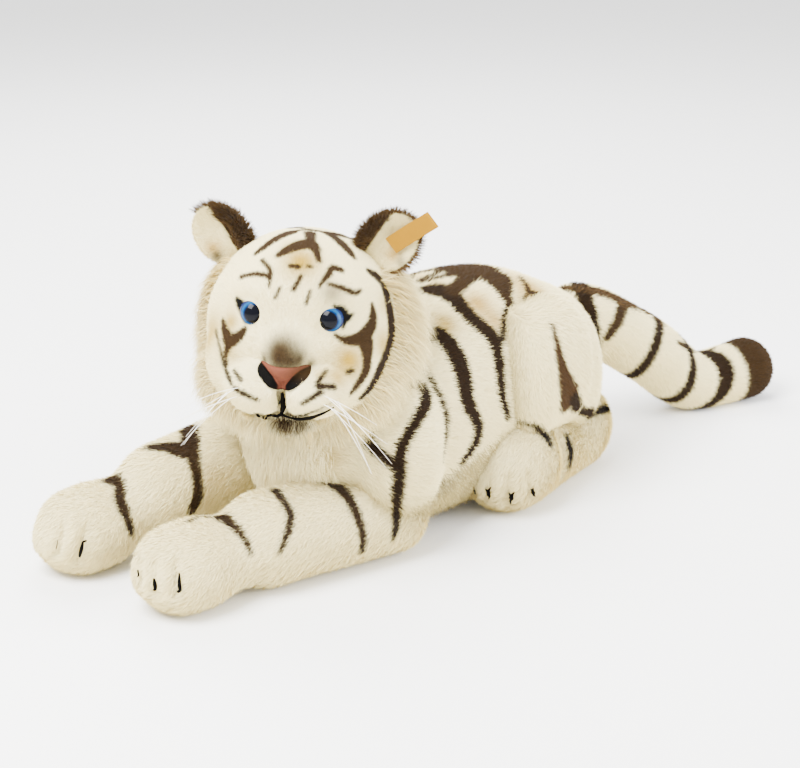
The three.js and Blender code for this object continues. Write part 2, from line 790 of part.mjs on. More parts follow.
// A blank ribbon, folded once and caught in the ear's seam
function ribbon() {
  const outline = new THREE.Shape();
  const high = ribbonThickness + ribbonFold / 2;
  outline.moveTo(0, -high);
  outline.lineTo(ribbonLength - high, -high);
  outline.absarc(ribbonLength - high, 0, high, -Math.PI / 2, Math.PI / 2, false);
  outline.lineTo(0, high);
  outline.lineTo(0, ribbonFold / 2);
  outline.lineTo(ribbonLength - high, ribbonFold / 2);
  outline.lineTo(ribbonLength - high, -ribbonFold / 2);
  outline.lineTo(0, -ribbonFold / 2);
  outline.closePath();
  const geometry = new THREE.ExtrudeGeometry(outline, {
    depth: ribbonWidth, bevelEnabled: false, curveSegments: curveSteps,
  });
  geometry.rotateX(Math.PI / 2);
  geometry.translate(0, ribbonWidth / 2, 0);
  geometry.rotateX(Math.PI / 2);
  geometry.rotateZ(radians(-ribbonLean));
  geometry.rotateY(radians(-ribbonTurn));
  const front = -earThickness - ribbonClearance - high;
  geometry.translate(0, front, earHeight * ribbonUpShare);
  return piece('ribbon_tab', solidOf(geometry), ribbonYellow, clothRoughness);
}

function head() {
  const group = new THREE.Group();
  let room = earRoom(-1).add(earRoom(1));
  for (const side of [-1, 1]) {
    room = room.add(eyeSolid(side, fitGap));
  }
  const neckHole = rod(
    neckHoleRadius,
    vector(0, headRadius * neckHoleShare, -headRadius * neckHoleShare),
    vector(0, headRadius, -headRadius),
    roundSides,
  );
  const cover = headShape(0, ballSides)
    .subtract(headShape(coverThickness, innerBodySides)).subtract(neckHole).subtract(room)
    .subtract(whiskerHoles(-1)).subtract(whiskerHoles(1));
  let core = headShape(coverThickness + fitGap, innerBodySides).subtract(room);
  for (const side of [-1, 1]) {
    const shank = eyeSolid(side, 0);
    const washer = washerSolid(side, 0).subtract(eyeSolid(side, fitGap));
    core = core.subtract(washerSolid(side, fitGap))
      .subtract(ball(whiskerPocketRadius, whiskerKnot(side), knotSides));
    const name = side > 0 ? 'left' : 'right';
    group.add(piece(`eye_${name}`, shank, eyeBlue, glossRoughness));
    group.add(piece(`eye_washer_${name}`, washer, washerWhite, plasticRoughness));
    group.add(piece(`whiskers_${name}`, whiskers(side), whiskerWhite, nylonRoughness));
    group.add(ear(side));
  }
  group.add(piece('head_cover', cover, white));
  group.add(piece('head_stuffing', core, fibre));
  group.add(neckRuff());
  group.add(nose());
  group.position.copy(headPlace);
  group.rotation.set(0, radians(headRoll), radians(headYaw), 'ZYX');
  return group;
}

const tiger = new THREE.Group();
tiger.add(...torso());
tiger.add(head());
for (const side of [1, -1]) {
  tiger.add(foreleg(side));
  tiger.add(...hindLeg(side));
}
tiger.add(tail());

// The origin is the middle of the footprint.
tiger.updateMatrixWorld(true);
const box = new THREE.Box3().setFromObject(tiger, true);
const middle = box.getCenter(vector(0, 0, 0));
tiger.position.set(-middle.x, -middle.y, -box.min.z);
const part = new THREE.Group();
part.add(tiger);

export default part;
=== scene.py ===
import json
import bpy
import numpy as np
from mathutils import Matrix, Vector
from mathutils.bvhtree import BVHTree


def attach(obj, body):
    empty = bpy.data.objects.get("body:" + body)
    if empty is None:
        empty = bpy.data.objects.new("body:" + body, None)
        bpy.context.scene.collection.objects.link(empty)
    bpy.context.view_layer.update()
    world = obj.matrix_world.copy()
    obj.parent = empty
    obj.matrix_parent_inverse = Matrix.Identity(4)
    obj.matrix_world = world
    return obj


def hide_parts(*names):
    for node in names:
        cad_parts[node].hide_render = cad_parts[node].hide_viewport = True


# A lying plush tiger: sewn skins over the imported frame, combed with pile, in metres.
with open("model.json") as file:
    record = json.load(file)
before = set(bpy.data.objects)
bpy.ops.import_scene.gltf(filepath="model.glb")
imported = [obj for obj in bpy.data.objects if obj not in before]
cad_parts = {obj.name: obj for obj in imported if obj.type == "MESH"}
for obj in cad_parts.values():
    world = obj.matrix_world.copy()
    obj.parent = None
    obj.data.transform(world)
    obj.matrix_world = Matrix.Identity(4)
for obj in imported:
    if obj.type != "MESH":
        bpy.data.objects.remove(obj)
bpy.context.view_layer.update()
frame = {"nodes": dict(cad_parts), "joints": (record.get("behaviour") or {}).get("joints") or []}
joints = {joint["name"]: joint for joint in frame["joints"]}
mm = 0.001
sideNames = {1: "left", -1: "right"}
print("frame loaded:", len(frame["nodes"]), "nodes")


# Camera

cameraView = {
    "azimuth": 46, "elevation": 20, "distance": 1.298, "lens": 76.5, "sensor": 36,
    "aim": (-0.0202, -0.06315, 0.09), "width": 800, "height": 768,
}


def wayTo(azimuth, elevation):  # from the object to a camera or lamp, azimuth 0 being -Y
    turn, lift = np.radians((azimuth, elevation))
    return np.array([np.sin(turn) * np.cos(lift), -np.cos(turn) * np.cos(lift), np.sin(lift)])


def facing(back):  # the turn of a camera or lamp that looks the other way
    return Vector(-back).to_track_quat("-Z", "Y").to_euler()


def placeCamera(view):
    # Returns what a sight line needs: the eye, the picture's axes and its focal length in pixels.
    back = wayTo(view["azimuth"], view["elevation"])
    data = bpy.data.cameras.new("camera")
    data.lens = view["lens"]
    data.sensor_width = view["sensor"]
    camera = bpy.data.objects.new("camera", data)
    bpy.context.scene.collection.objects.link(camera)
    eye = np.array(view["aim"]) + back * view["distance"]
    camera.location = eye
    camera.rotation_euler = facing(back)
    bpy.context.scene.camera = camera
    turn = np.radians(view["azimuth"])
    right = np.array([np.cos(turn), np.sin(turn), 0])
    focal = view["lens"] / view["sensor"] * view["width"]
    return {"eye": eye, "right": right, "up": np.cross(back, right), "ahead": -back, "focal": focal}


lookThrough = placeCamera(cameraView)


def sightLine(pixels):  # the directions in which pixels of the picture are seen
    pixels = np.asarray(pixels, float)
    across = pixels[..., :1] - cameraView["width"] / 2
    downward = pixels[..., 1:2] - cameraView["height"] / 2
    line = lookThrough["ahead"] * lookThrough["focal"] + lookThrough["right"] * across
    return unit(line - lookThrough["up"] * downward)


# Small maths

def unit(vectors):  # each vector over its own length
    return vectors / np.maximum(np.linalg.norm(vectors, axis=-1, keepdims=True), 1e-12)


def ease(low, high, x):  # 0 at low, 1 at high, smooth between
    t = np.clip((x - low) / (high - low), 0, 1)
    return t * t * (3 - 2 * t)


def softMax(a, b, width):  # the larger of the two, rounded over where they are within width
    return np.maximum(a, b) + np.maximum(width - np.abs(a - b), 0) ** 2 / (4 * width)


def mound(points, centre, radii):  # 1 at the centre, fading as a bell with these radii
    return np.exp(-(((points - centre) / radii) ** 2).sum(-1))


def turnedBy(degrees, axis):  # a turn as a matrix
    return np.array(Matrix.Rotation(np.radians(degrees), 3, axis))


def throughStations(stations, values, at):
    # A cubic between neighbouring stations, its slopes taken from the stations on both sides.
    stations = np.asarray(stations, float)
    values = np.asarray(values, float)
    slopes = np.gradient(values, stations, axis=0)
    cell = np.clip(np.searchsorted(stations, at, side="right") - 1, 0, len(stations) - 2)
    gap = stations[cell + 1] - stations[cell]
    t = (at - stations[cell]) / gap
    if values.ndim > 1:
        t = t[:, None]
        gap = gap[:, None]
    here = (2 * t**3 - 3 * t**2 + 1) * values[cell] + (t**3 - 2 * t**2 + t) * gap * slopes[cell]
    return here + (3 * t**2 - 2 * t**3) * values[cell + 1] + (t**3 - t**2) * gap * slopes[cell + 1]


def reachThrough(starts, directions, centre, radii, turn=np.eye(3)):
    # How far a ray runs until it leaves an ellipsoid: the far root of its quadratic, 0 for a miss.
    step = directions @ turn / radii
    start = (starts - centre) @ turn / radii
    a = (step**2).sum(-1)
    b = (step * start).sum(-1)
    c = (start**2).sum(-1) - 1
    room = b**2 - a * c
    return np.where(room > 0, np.maximum(-b + np.sqrt(np.maximum(room, 0)), 0) / a, 0)


# Surfaces

stepsEach = 60  # how finely a spine is followed from one station to the next


def tubeRings(places, halfSizes, domes, rings, sides, power=2.0, upright=(0, 0, 1)):
    # A profile carried along a smooth spine: superellipse rings square to it, which shrink as a
    # quarter circle over the dome at each end. Returns ring centres, offsets and shares along.
    count = len(places)
    fine = np.linspace(0, count - 1, stepsEach * count)
    spine = throughStations(np.arange(count), places, fine)
    size = throughStations(np.arange(count), halfSizes, fine)
    steps = np.linalg.norm(np.diff(spine, axis=0), axis=1)
    run = np.concatenate([[0], np.cumsum(steps)])
    quarter = np.linspace(0, np.pi / 2, rings // 4 + 1)[1:]
    plain = np.linspace(domes[0], run[-1] - domes[1], rings - 2 * len(quarter) + 2)[1:-1]
    at = np.concatenate([
        domes[0] * (1 - np.cos(quarter)), plain, run[-1] - domes[1] * (1 - np.cos(quarter[::-1])),
    ])
    swell = np.concatenate([np.sin(quarter), np.ones(len(plain)), np.sin(quarter[::-1])])
    spread = lambda table: np.stack([np.interp(at, run, column) for column in table.T], 1)
    centre = spread(spine)
    ahead = unit(spread(np.gradient(spine, axis=0)))
    side = unit(np.cross(ahead, upright))
    rise = np.cross(side, ahead)
    half = spread(size) * swell[:, None]
    angle = np.linspace(0, 2 * np.pi, sides, endpoint=False)
    across = np.sign(np.cos(angle)) * np.abs(np.cos(angle)) ** (2 / power)
    up = np.sign(np.sin(angle)) * np.abs(np.sin(angle)) ** (2 / power)
    offsets = (
        side[:, None] * (across[None, :, None] * half[:, None, :1])
        + rise[:, None] * (up[None, :, None] * half[:, None, 1:])
    )
    return {
        "centre": centre, "offsets": offsets, "along": at / run[-1], "around": angle,
        "ends": np.stack([spine[0], spine[-1]]),
    }


def skinFromGrid(grid, ends, along, around):
    # A closed skin over a grid of rings: a point at each end, fans there and quads between.
    rings, sides = grid.shape[:2]
    points = np.concatenate([ends[:1], grid.reshape(-1, 3), ends[1:]])
    ring = np.arange(rings - 1)[:, None] * sides + 1
    here = np.arange(sides)[None]
    there = (here + 1) % sides
    quads = np.stack([ring + here, ring + there, ring + sides + there, ring + sides + here], -1)
    quads = quads.reshape(-1, 4)
    last = len(points) - 1
    first = np.arange(sides) + 1
    after = (np.arange(sides) + 1) % sides + 1
    lastRing = (rings - 1) * sides
    fans = np.concatenate([
        np.stack([np.zeros(sides, int), after, first], 1),
        np.stack([np.full(sides, last), first + lastRing, after + lastRing], 1),
    ])
    triangles = np.concatenate([quads[:, [0, 1, 2]], quads[:, [0, 2, 3]], fans])
    a, b, c = cornersOf(points, triangles)
    if (a * np.cross(b, c)).sum() < 0:  # the volume tells which way the faces look
        quads, fans, triangles = quads[:, ::-1], fans[:, ::-1], triangles[:, ::-1]
    runs = np.concatenate([[along[0]], np.repeat(along, sides), [along[-1]]])
    turns = np.concatenate([[0], np.tile(around, rings), [0]])
    return {
        "points": points, "quads": quads, "fans": fans, "triangles": triangles,
        "along": runs, "around": turns, "normals": vertexNormals(points, triangles),
    }


def joined(parts):  # several skins as one
    starts = np.cumsum([0] + [len(part["points"]) for part in parts[:-1]])
    together = {
        key: np.concatenate([part[key] + start for part, start in zip(parts, starts)])
        for key in ("quads", "fans", "triangles")
    }
    for key in ("points", "along", "around", "normals"):
        together[key] = np.concatenate([part[key] for part in parts])
    return together


def cornersOf(points, triangles):  # the first, second and third corners of all triangles
    return points[triangles].transpose(1, 0, 2)


def vertexNormals(points, triangles):  # the mean of the faces round each vertex, by area
    a, b, c = cornersOf(points, triangles)
    faces = np.repeat(np.cross(b - a, c - a), 3, axis=0)
    corners = triangles.ravel()
    sums = [np.bincount(corners, column, len(points)) for column in faces.T]
    return unit(np.stack(sums, 1))


def renewNormals(skin):  # after its points have moved
    skin["normals"] = vertexNormals(skin["points"], skin["triangles"])
    return skin


def moved(skin, turn, place):  # turned about its own origin, then put in place
    skin["points"] = skin["points"] @ turn.T + place
    return renewNormals(skin)


def cornerList(faceSets):  # the vertices of all faces in a row
    return np.concatenate([faces.ravel() for faces in faceSets])


def addMap(mesh, uv):  # one place on the map for each corner
    mesh.uv_layers.new(name="OFBake").uv.foreach_set("vector", uv.astype(np.float32).ravel())


def newMesh(name, points, faceSets, uv=None, colours=None):
    # Puts whole arrays into a mesh. faceSets are arrays of faces with 3 or 4 corners each.
    mesh = bpy.data.meshes.new(name)
    mesh.vertices.add(len(points))
    mesh.vertices.foreach_set("co", points.astype(np.float32).ravel())
    corners = cornerList(faceSets).astype(np.int32)
    totals = np.concatenate([np.full(len(faces), faces.shape[1]) for faces in faceSets])
    mesh.loops.add(len(corners))
    mesh.loops.foreach_set("vertex_index", corners)
    mesh.polygons.add(len(totals))
    starts = np.concatenate([[0], np.cumsum(totals)[:-1]]).astype(np.int32)
    mesh.polygons.foreach_set("loop_start", starts)
    mesh.update(calc_edges=True)
    mesh.polygons.foreach_set("use_smooth", np.ones(len(totals), bool))
    if uv is not None:
        addMap(mesh, uv[corners])
    if colours is not None:
        layer = mesh.attributes.new("coat", "FLOAT_COLOR", "POINT")
        opaque = np.concatenate([colours, np.ones((len(colours), 1))], 1)
        layer.data.foreach_set("color", opaque.astype(np.float32).ravel())
    shape = bpy.data.objects.new(name, mesh)
    bpy.context.scene.collection.objects.link(shape)
    return shape


mapEdge = 0.004
lateTurn, earlyTurn = 0.75, 0.25  # a face with corners beyond both lies over the map's seam


def skinObject(name, skin, colours, material):
    # The seam of the map, where the angle starts again, gets its own corners.
    faceSets = [skin["quads"], skin["fans"]]
    shape = newMesh(name, skin["points"], faceSets, colours=colours)
    corners = cornerList(faceSets)
    owners = np.concatenate([
        np.repeat(np.arange(len(skin["quads"])), 4),
        np.repeat(np.arange(len(skin["fans"])), 3) + len(skin["quads"]),
    ])
    turn = skin["around"][corners] / (2 * np.pi)
    most = np.zeros(owners.max() + 1)
    np.maximum.at(most, owners, turn)
    turn = np.where((most[owners] > lateTurn) & (turn < earlyTurn), turn + 1, turn)
    addMap(shape.data, mapEdge + (1 - 2 * mapEdge) * np.stack([turn, skin["along"][corners]], 1))
    shape.data.materials.append(material)
    return shape


# Colours, as linear light

def shade(red, green, blue):
    # From the 0 to 255 numbers of a screen colour, through the screen's own curve.
    value = np.array([red, green, blue]) / 255
    return np.where(value < 0.04045, value / 12.92, ((value + 0.055) / 1.055) ** 2.4)


# The fold tint is painted shade for plush in folds near other pieces.
tints = {
    "white": shade(241, 229, 178), "cream": shade(224, 202, 128), "gold": shade(164, 130, 12),
    "beige": shade(176, 138, 50), "brown": shade(32, 21, 9), "sable": shade(46, 32, 15),
    "bark": shade(96, 72, 40), "grey": shade(118, 106, 76), "fold": shade(176, 156, 92),
    "pink": shade(96, 54, 40), "black": shade(6, 5, 4), "rust": shade(58, 40, 20),
    "ribbon": shade(150, 106, 0), "thread": shade(104, 74, 0), "nylon": shade(246, 240, 224),
    "plastic": shade(232, 232, 228), "irisPale": shade(14, 66, 108), "irisDeep": shade(4, 24, 58),
    "irisRim": shade(20, 34, 70), "pupil": shade(5, 6, 12),
}


def mixed(base, tint, share):  # base colours drawn toward one tint by a share for each point
    return base + (tint - base) * np.clip(share, 0, 1)[:, None]


def plainCoat(name, count):  # one tint for every point
    return np.repeat(tints[name][None], count, 0)


# Stripes

mostSpread = 2.2  # how far a stroke may widen where the skin curves away


def strokesOn(skin, drawn, between=5):
    # Each drawn stroke is a list of (across, down, width) in pixels of the picture. It is drawn
    # as a smooth curve, and its sight lines and those of its two edges meet the skin, which makes
    # it a line in space with half widths.
    tree = BVHTree.FromPolygons(skin["points"].tolist(), skin["triangles"].tolist())
    eye = Vector(lookThrough["eye"])
    strokes = []
    for stroke in drawn:
        stations = np.arange(len(stroke))
        fine = throughStations(stations, stroke, np.linspace(0, stations[-1], between * stations[-1] + 1))
        ahead = unit(np.gradient(fine[:, :2], axis=0))
        edge = np.stack([-ahead[:, 1], ahead[:, 0]], 1) * fine[:, 2:] / 2
        found = []
        for places in (fine[:, :2], fine[:, :2] - edge, fine[:, :2] + edge):
            aims = sightLine(places)
            far = np.array([tree.ray_cast(eye, Vector(aim))[3] or np.nan for aim in aims])
            found.append(lookThrough["eye"] + aims * far[:, None])
        on = ~np.isnan(found[0][:, 0])
        far = np.linalg.norm(found[0] - lookThrough["eye"], axis=1)
        least = fine[:, 2] / 2 * far / lookThrough["focal"]
        wide = np.linalg.norm(found[1] - found[2], axis=1) / 2
        halves = np.clip(np.where(np.isnan(wide), least, wide), least, mostSpread * least)
        if on.sum() > 1:
            strokes.append((found[0][on], halves[on]))
        else:
            print("a stroke misses its skin:", stroke)
    return strokes


def gapTo(points, strokes, reach):
    # How far each point is from the nearest stroke's edge, negative inside, at most the reach.
    least = np.full(len(points), reach)
    for line, halves in strokes:
        margin = halves.max() + reach
        near = np.flatnonzero(((points > line.min(0) - margin) & (points < line.max(0) + margin)).all(1))
        here = points[near]
        for a, b, wide, wideAfter in zip(line[:-1], line[1:], halves[:-1], halves[1:]):
            along = np.clip((here - a) @ (b - a) / max((b - a) @ (b - a), 1e-12), 0, 1)
            gap = np.linalg.norm(here - a - along[:, None] * (b - a), axis=1)
            least[near] = np.minimum(least[near], gap - wide - (wideAfter - wide) * along)
    return least


def inkAt(points, strokes, feather=1.1 * mm):
    # How dark the strokes make each point: 1 inside a stroke's width, fading over the feather.
    return ease(feather, -feather, gapTo(points, strokes, 2 * feather))


# Pile

def scattered(skin, density, seed, keep):
    # Roots spread over the skin: density for each square millimetre, times keep, a vertex value.
    rng = np.random.default_rng(seed)
    triangles = skin["triangles"]
    a, b, c = cornersOf(skin["points"], triangles)
    area = np.linalg.norm(np.cross(b - a, c - a), axis=1) / 2 * keep[triangles].mean(1)
    sums = np.cumsum(area)
    count = int(sums[-1] / mm**2 * density)
    picks = (np.arange(count) + rng.random(count)) / count * sums[-1]
    face = triangles[np.searchsorted(sums, picks).clip(0, len(sums) - 1)]
    u, v = rng.random((2, count))
    over = u + v > 1
    u, v = np.where(over, 1 - u, u), np.where(over, 1 - v, v)
    weights = np.stack([1 - u - v, u, v], 1)
    roots = {"face": face, "weights": weights, "rng": rng}
    for key in ("points", "normals", "comb", "along"):
        roots[key] = atRoots(roots, skin[key])
    roots["normals"] = unit(roots["normals"])
    return roots


def atRoots(roots, values):  # a vertex value carried to the roots
    weights = roots["weights"] if values.ndim == 1 else roots["weights"][..., None]
    return (values[roots["face"]] * weights).sum(1)


bladeTaper = 1.5


def pileMesh(name, roots, colours, style, lengths):
    # Blades of pile. A blade leaves its root along the comb, raised by its lift, and its middle
    # line is root + length * (s * start + s * s * bend), while its width falls to 0 at the tip.
    rng = roots["rng"]
    count = len(roots["points"])
    normal = roots["normals"]
    comb = roots["comb"] - (roots["comb"] * normal).sum(1, keepdims=True) * normal
    stray = rng.normal(0, style["stray"], (count, 3))
    comb = unit(unit(comb) + stray - (stray * normal).sum(1, keepdims=True) * normal)
    lift = np.radians(style["lift"] + rng.normal(0, style["liftSpread"], count))[:, None]
    start = comb * np.cos(lift) + normal * np.sin(lift)
    size = (lengths * rng.uniform(1 - style["uneven"], 1, count))[:, None]
    bend = normal * style["curl"] + np.array([0, 0, -style["droop"]])
    flat = unit(np.cross(start, normal))
    roll = np.radians(rng.normal(0, style["roll"], count))[:, None]
    flat = flat * np.cos(roll) + np.cross(start, flat) * np.sin(roll)
    levels = style["levels"]
    steps = np.linspace(0, 1, levels + 1)
    root = roots["points"] - normal * style["sink"]
    blades = np.empty((count, 2 * levels + 1, 3))
    tones = np.empty((count, 2 * levels + 1, 3))
    # Each blade is darker at its root and lighter at its tip: painted shade down in the pile, painted light
    # on the tips.
    tipLightTone = colours * style["tipLightTone"]
    rootShadeTone = colours * style["rootShadeTone"]
    flicker = rng.normal(1, style["flicker"], (count, 1))
    for k, s in enumerate(steps):
        middle = root + size * (s * start + s * s * bend)
        half = flat * style["width"] / 2 * (1 - s**bladeTaper)
        tone = (rootShadeTone + (tipLightTone - rootShadeTone) * s) * flicker
        if k < levels:
            blades[:, 2 * k] = middle - half
            blades[:, 2 * k + 1] = middle + half
            tones[:, 2 * k] = tones[:, 2 * k + 1] = tone
        else:
            blades[:, -1] = middle
            tones[:, -1] = tone
    blades[..., 2] = np.maximum(blades[..., 2], style["floor"])
    base = np.arange(count)[:, None] * (2 * levels + 1)
    faceSets = [base + [2 * levels - 2, 2 * levels - 1, 2 * levels]]
    for k in range(levels - 1):
        faceSets.append(base + [2 * k, 2 * k + 1, 2 * k + 3, 2 * k + 2])
    tones = tones.reshape(-1, 3).clip(0, 1)
    return newMesh(name, blades.reshape(-1, 3), faceSets, toneMap(tones, rng), tones)


toneSpread = {"gamma": 0.45, "least": 0.02, "start": 0.02, "span": 0.95, "leastSpan": 0.01, "jitter": 0.01}


def toneMap(tones, rng):
    # The map holds a blade by its colour: how light it is across, how warm it is upward.
    s = toneSpread
    light = tones.mean(1) ** s["gamma"]
    warm = (tones[:, 0] - tones[:, 2]) / np.maximum(tones.max(1), s["least"])
    place = np.stack([light, warm], 1)
    low, high = place.min(0), place.max(0)
    share = (place - low) / np.maximum(high - low, s["leastSpan"])
    return s["start"] + s["span"] * share + rng.random((len(place), 2)) * s["jitter"]


shortPile = {
    "length": 7.2 * mm, "width": 0.75 * mm, "lift": 25, "liftSpread": 9, "stray": 0.24, "uneven": 0.35,
    "curl": -0.08, "droop": 0, "roll": 28, "levels": 1, "sink": 0.3 * mm, "tipLightTone": 1.04,
    "rootShadeTone": 0.9, "flicker": 0.035, "floor": 0.3 * mm, "ragged": 0.6 * mm, "readAhead": 0.45,
}
facePile = {**shortPile, "length": 3.6 * mm, "width": 0.5 * mm, "lift": 20, "ragged": 0.45 * mm}


# Materials

cloth = {"sheenRoughness": 0.5, "specular": 0.06, "grainDetail": 3, "cleanGrain": 0.03, "relief": 0.0003}


def plushMaterial(name, grainScale, grainDepth, roughness, sheen):
    # Colour from the piece's own coat attribute, with a fine grain over it.
    material = bpy.data.materials.new(name)
    material.use_nodes = True
    nodes = material.node_tree.nodes
    links = material.node_tree.links
    shader = nodes["Principled BSDF"]
    shader.inputs["Roughness"].default_value = roughness
    shader.inputs["Sheen Weight"].default_value = sheen
    shader.inputs["Sheen Roughness"].default_value = cloth["sheenRoughness"]
    shader.inputs["Specular IOR Level"].default_value = cloth["specular"]
    coat = nodes.new("ShaderNodeAttribute")
    coat.attribute_name = "coat"
    place = nodes.new("ShaderNodeTexCoord")
    grain = nodes.new("ShaderNodeTexNoise")
    grain.inputs["Scale"].default_value = grainScale
    grain.inputs["Detail"].default_value = cloth["grainDetail"]
    toned = nodes.new("ShaderNodeMapRange")
    toned.inputs["To Min"].default_value = 1 - grainDepth
    toned.inputs["To Max"].default_value = 1 + grainDepth
    tinted = nodes.new("ShaderNodeVectorMath")
    tinted.operation = "SCALE"
    links.new(place.outputs["Object"], grain.inputs["Vector"])
    links.new(grain.outputs["Fac"], toned.inputs["Value"])
    links.new(coat.outputs["Color"], tinted.inputs[0])
    links.new(toned.outputs["Result"], tinted.inputs["Scale"])
    links.new(tinted.outputs["Vector"], shader.inputs["Base Color"])
    return material


def addRelief(material, height, strength, distance):  # a bump from a node's socket
    relief = material.node_tree.nodes.new("ShaderNodeBump")
    relief.inputs["Strength"].default_value = strength
    relief.inputs["Distance"].default_value = distance
    material.node_tree.links.new(height, relief.inputs["Height"])
    shader = material.node_tree.nodes["Principled BSDF"]
    material.node_tree.links.new(relief.outputs["Normal"], shader.inputs["Normal"])


def cleanMaterial(name, roughness, colour=None, bump=0.0, bumpScale=400, shine=0.5):
    # Colour from the coat attribute or one tint, varied by a fine grain that also roughens it.
    material = plushMaterial(name, bumpScale, cloth["cleanGrain"], roughness, 0)
    nodes = material.node_tree.nodes
    nodes["Principled BSDF"].inputs["Specular IOR Level"].default_value = shine
    if colour is not None:
        tinted = nodes["Vector Math"]
        material.node_tree.links.remove(tinted.inputs[0].links[0])
        tinted.inputs[0].default_value = tuple(colour)
    if bump:
        addRelief(material, nodes["Noise Texture"].outputs["Fac"], bump, cloth["relief"])
    return material


threadCloth = cleanMaterial("threadCloth", 0.8, bump=0.4, bumpScale=1800, shine=0.02)
backing = plushMaterial("plushBacking", grainScale=900, grainDepth=0.08, roughness=0.95, sheen=0.03)
pile = plushMaterial("plushPile", grainScale=260, grainDepth=0.05, roughness=0.8, sheen=0.05)


# Where the parts stand

def jointPlace(name):  # where the joint's axis runs, in metres
    return np.array(joints[name]["pos_m"])


headFromHome = (0, -110, 163)
home = jointPlace("head_turn") - np.array(headFromHome) * mm
midX = home[0]


def placed(rows, start=home):  # a list of places in millimetres, from a starting point
    return np.array(rows, float) * mm + start


def tubeSkin(tube):  # the closed skin over a tube's rings
    grid = tube["centre"][:, None] + tube["offsets"]
    return skinFromGrid(grid, tube["ends"], tube["along"], tube["around"])


def insideTube(points, tube, margin):  # True where a point lies in a tube grown by the margin
    rows = np.arange(0, len(tube["centre"]), 2)
    gap = ((points[:, None] - tube["centre"][None, rows]) ** 2).sum(-1)
    ring = rows[gap.argmin(1)]
    sides = tube["offsets"].shape[1]
    away = points - tube["centre"][ring]
    across = (away * unit(tube["offsets"][ring, 0])).sum(1)
    up = (away * unit(tube["offsets"][ring, sides // 4])).sum(1)
    place = np.round(np.arctan2(up, across) / (2 * np.pi) * sides).astype(int) % sides
    reach = np.linalg.norm(tube["offsets"][ring, place], axis=1) + margin
    return (away**2).sum(1) < reach**2


def insideBall(points, centre, radii, turn=np.eye(3)):  # True inside a turned ellipsoid
    return (((points - centre) @ turn / radii) ** 2).sum(1) < 1


# Torso

torso = {
    "chest": -146, "length": 327, "along": (0, 0.13, 0.3, 0.46, 0.62, 0.76, 0.9, 1),
    "width": 152, "widths": (0.62, 0.82, 0.97, 0.95, 0.92, 0.9, 0.78, 0.54),
    "height": 166, "tops": (0.62, 0.86, 1.0, 1.045, 1.04, 0.94, 0.8, 0.62),
    "foots": (0.03, 0, 0, 0, 0, 0, 0.03, 0.2), "dome": 0.15, "power": 2.2, "rings": 150, "sides": 240,
    "shoulderOut": 52, "shoulderBack": {-1: 50, 1: 68}, "shoulderUp": 76, "shoulderRadii": (36, 36, 58),
    "shoulderBlend": 12,
}


def torsoTube(t):
    # The trunk's rings, pushed out to an ellipsoid over each shoulder.
    along, widths, tops, foots = (np.array(t[k]) for k in ("along", "widths", "tops", "foots"))
    rows = np.stack([0 * along, t["chest"] + along * t["length"], (tops + foots) / 2 * t["height"]], 1)
    halves = np.stack([widths * t["width"] / 2, (tops - foots) * t["height"] / 2], 1) * mm
    dome = t["dome"] * t["length"] * mm
    tube = tubeRings(placed(rows), halves, (dome, dome), t["rings"], t["sides"], t["power"])
    reach = np.linalg.norm(tube["offsets"], axis=-1)
    aim = tube["offsets"] / reach[..., None]
    starts = np.broadcast_to(tube["centre"][:, None], aim.shape)
    for side, back in t["shoulderBack"].items():
        centre = placed((side * t["shoulderOut"], t["chest"] + back, t["shoulderUp"]))
        out = reachThrough(starts, aim, centre, np.array(t["shoulderRadii"]) * mm)
        reach = softMax(reach, out, t["shoulderBlend"] * mm)
    tube["offsets"] = aim * reach[..., None]
    return tube


# Forelegs

foreleg = {
    "elbow": 34, "behind": 22, "reach": 199, "along": (0, 0.22, 0.42, 0.54, 0.65, 0.78, 0.92, 1),
    "rests": (34, 34, 33.5, 33, 31, 29, 26, 25), "sinks": (0, 0.1, 0.36, 0.58, 0.8, 0.98, 1.02, 1),
    "halfWidths": (32.5, 32.5, 31.5, 30.5, 26, 32.5, 32, 26),
    "halfHeights": (32.5, 32.5, 32, 32.5, 25, 29, 26, 19), "rise": {-1: 24, 1: 0}, "heading": 11,
    "pawDome": 28, "rings": 120, "sides": 150,
}


def forelegTube(side, f):
    # From behind the elbow along -Y to the paw, in the leg's own frame: the forearm narrows to a
    # wrist held just off the floor, and the paw rests on it and slopes down to its tip.
    along, sinks, rests = (np.array(f[k]) for k in ("along", "sinks", "rests"))
    up = rests - f["elbow"] - sinks * f["rise"][side]
    rows = np.stack([0 * along, -along * f["reach"], up], 1)
    rows = np.concatenate([[(0, f["behind"], 0)], rows])
    halves = np.stack([f["halfWidths"], f["halfHeights"]], 1) * mm
    halves = np.concatenate([halves[:1], halves])
    domes = (f["behind"] * mm, f["pawDome"] * mm)
    return tubeRings(placed(rows, 0), halves, domes, f["rings"], f["sides"])


def setTube(tube, turn, place):  # turned about its own origin, then put in place
    tube["centre"] = tube["centre"] @ turn.T + place
    tube["offsets"] = tube["offsets"] @ turn.T
    tube["ends"] = tube["ends"] @ turn.T + place
    return tube


# Hind legs

hind = {
    "thighRadii": (37, 46, 52), "thighPlace": (51, 72, 103), "thighTurn": 9, "thighDome": 25,
    "thighPower": 2.1, "thighRings": 90, "thighSides": 130, "footLength": 182, "footWidth": 62,
    "footHeight": 62, "footPlace": (64, 4, 0), "footAlong": (0, 0.2, 0.42, 0.62, 0.8, 0.96),
    "footWidths": (0.82, 1.12, 0.98, 0.8, 0.76, 0.66), "footHeights": (0.9, 1.16, 1.1, 0.94, 1.0, 0.9),
    "toeDome": 26, "heelDome": 28, "toeIn": 10, "footRings": 90, "footSides": 120,
}


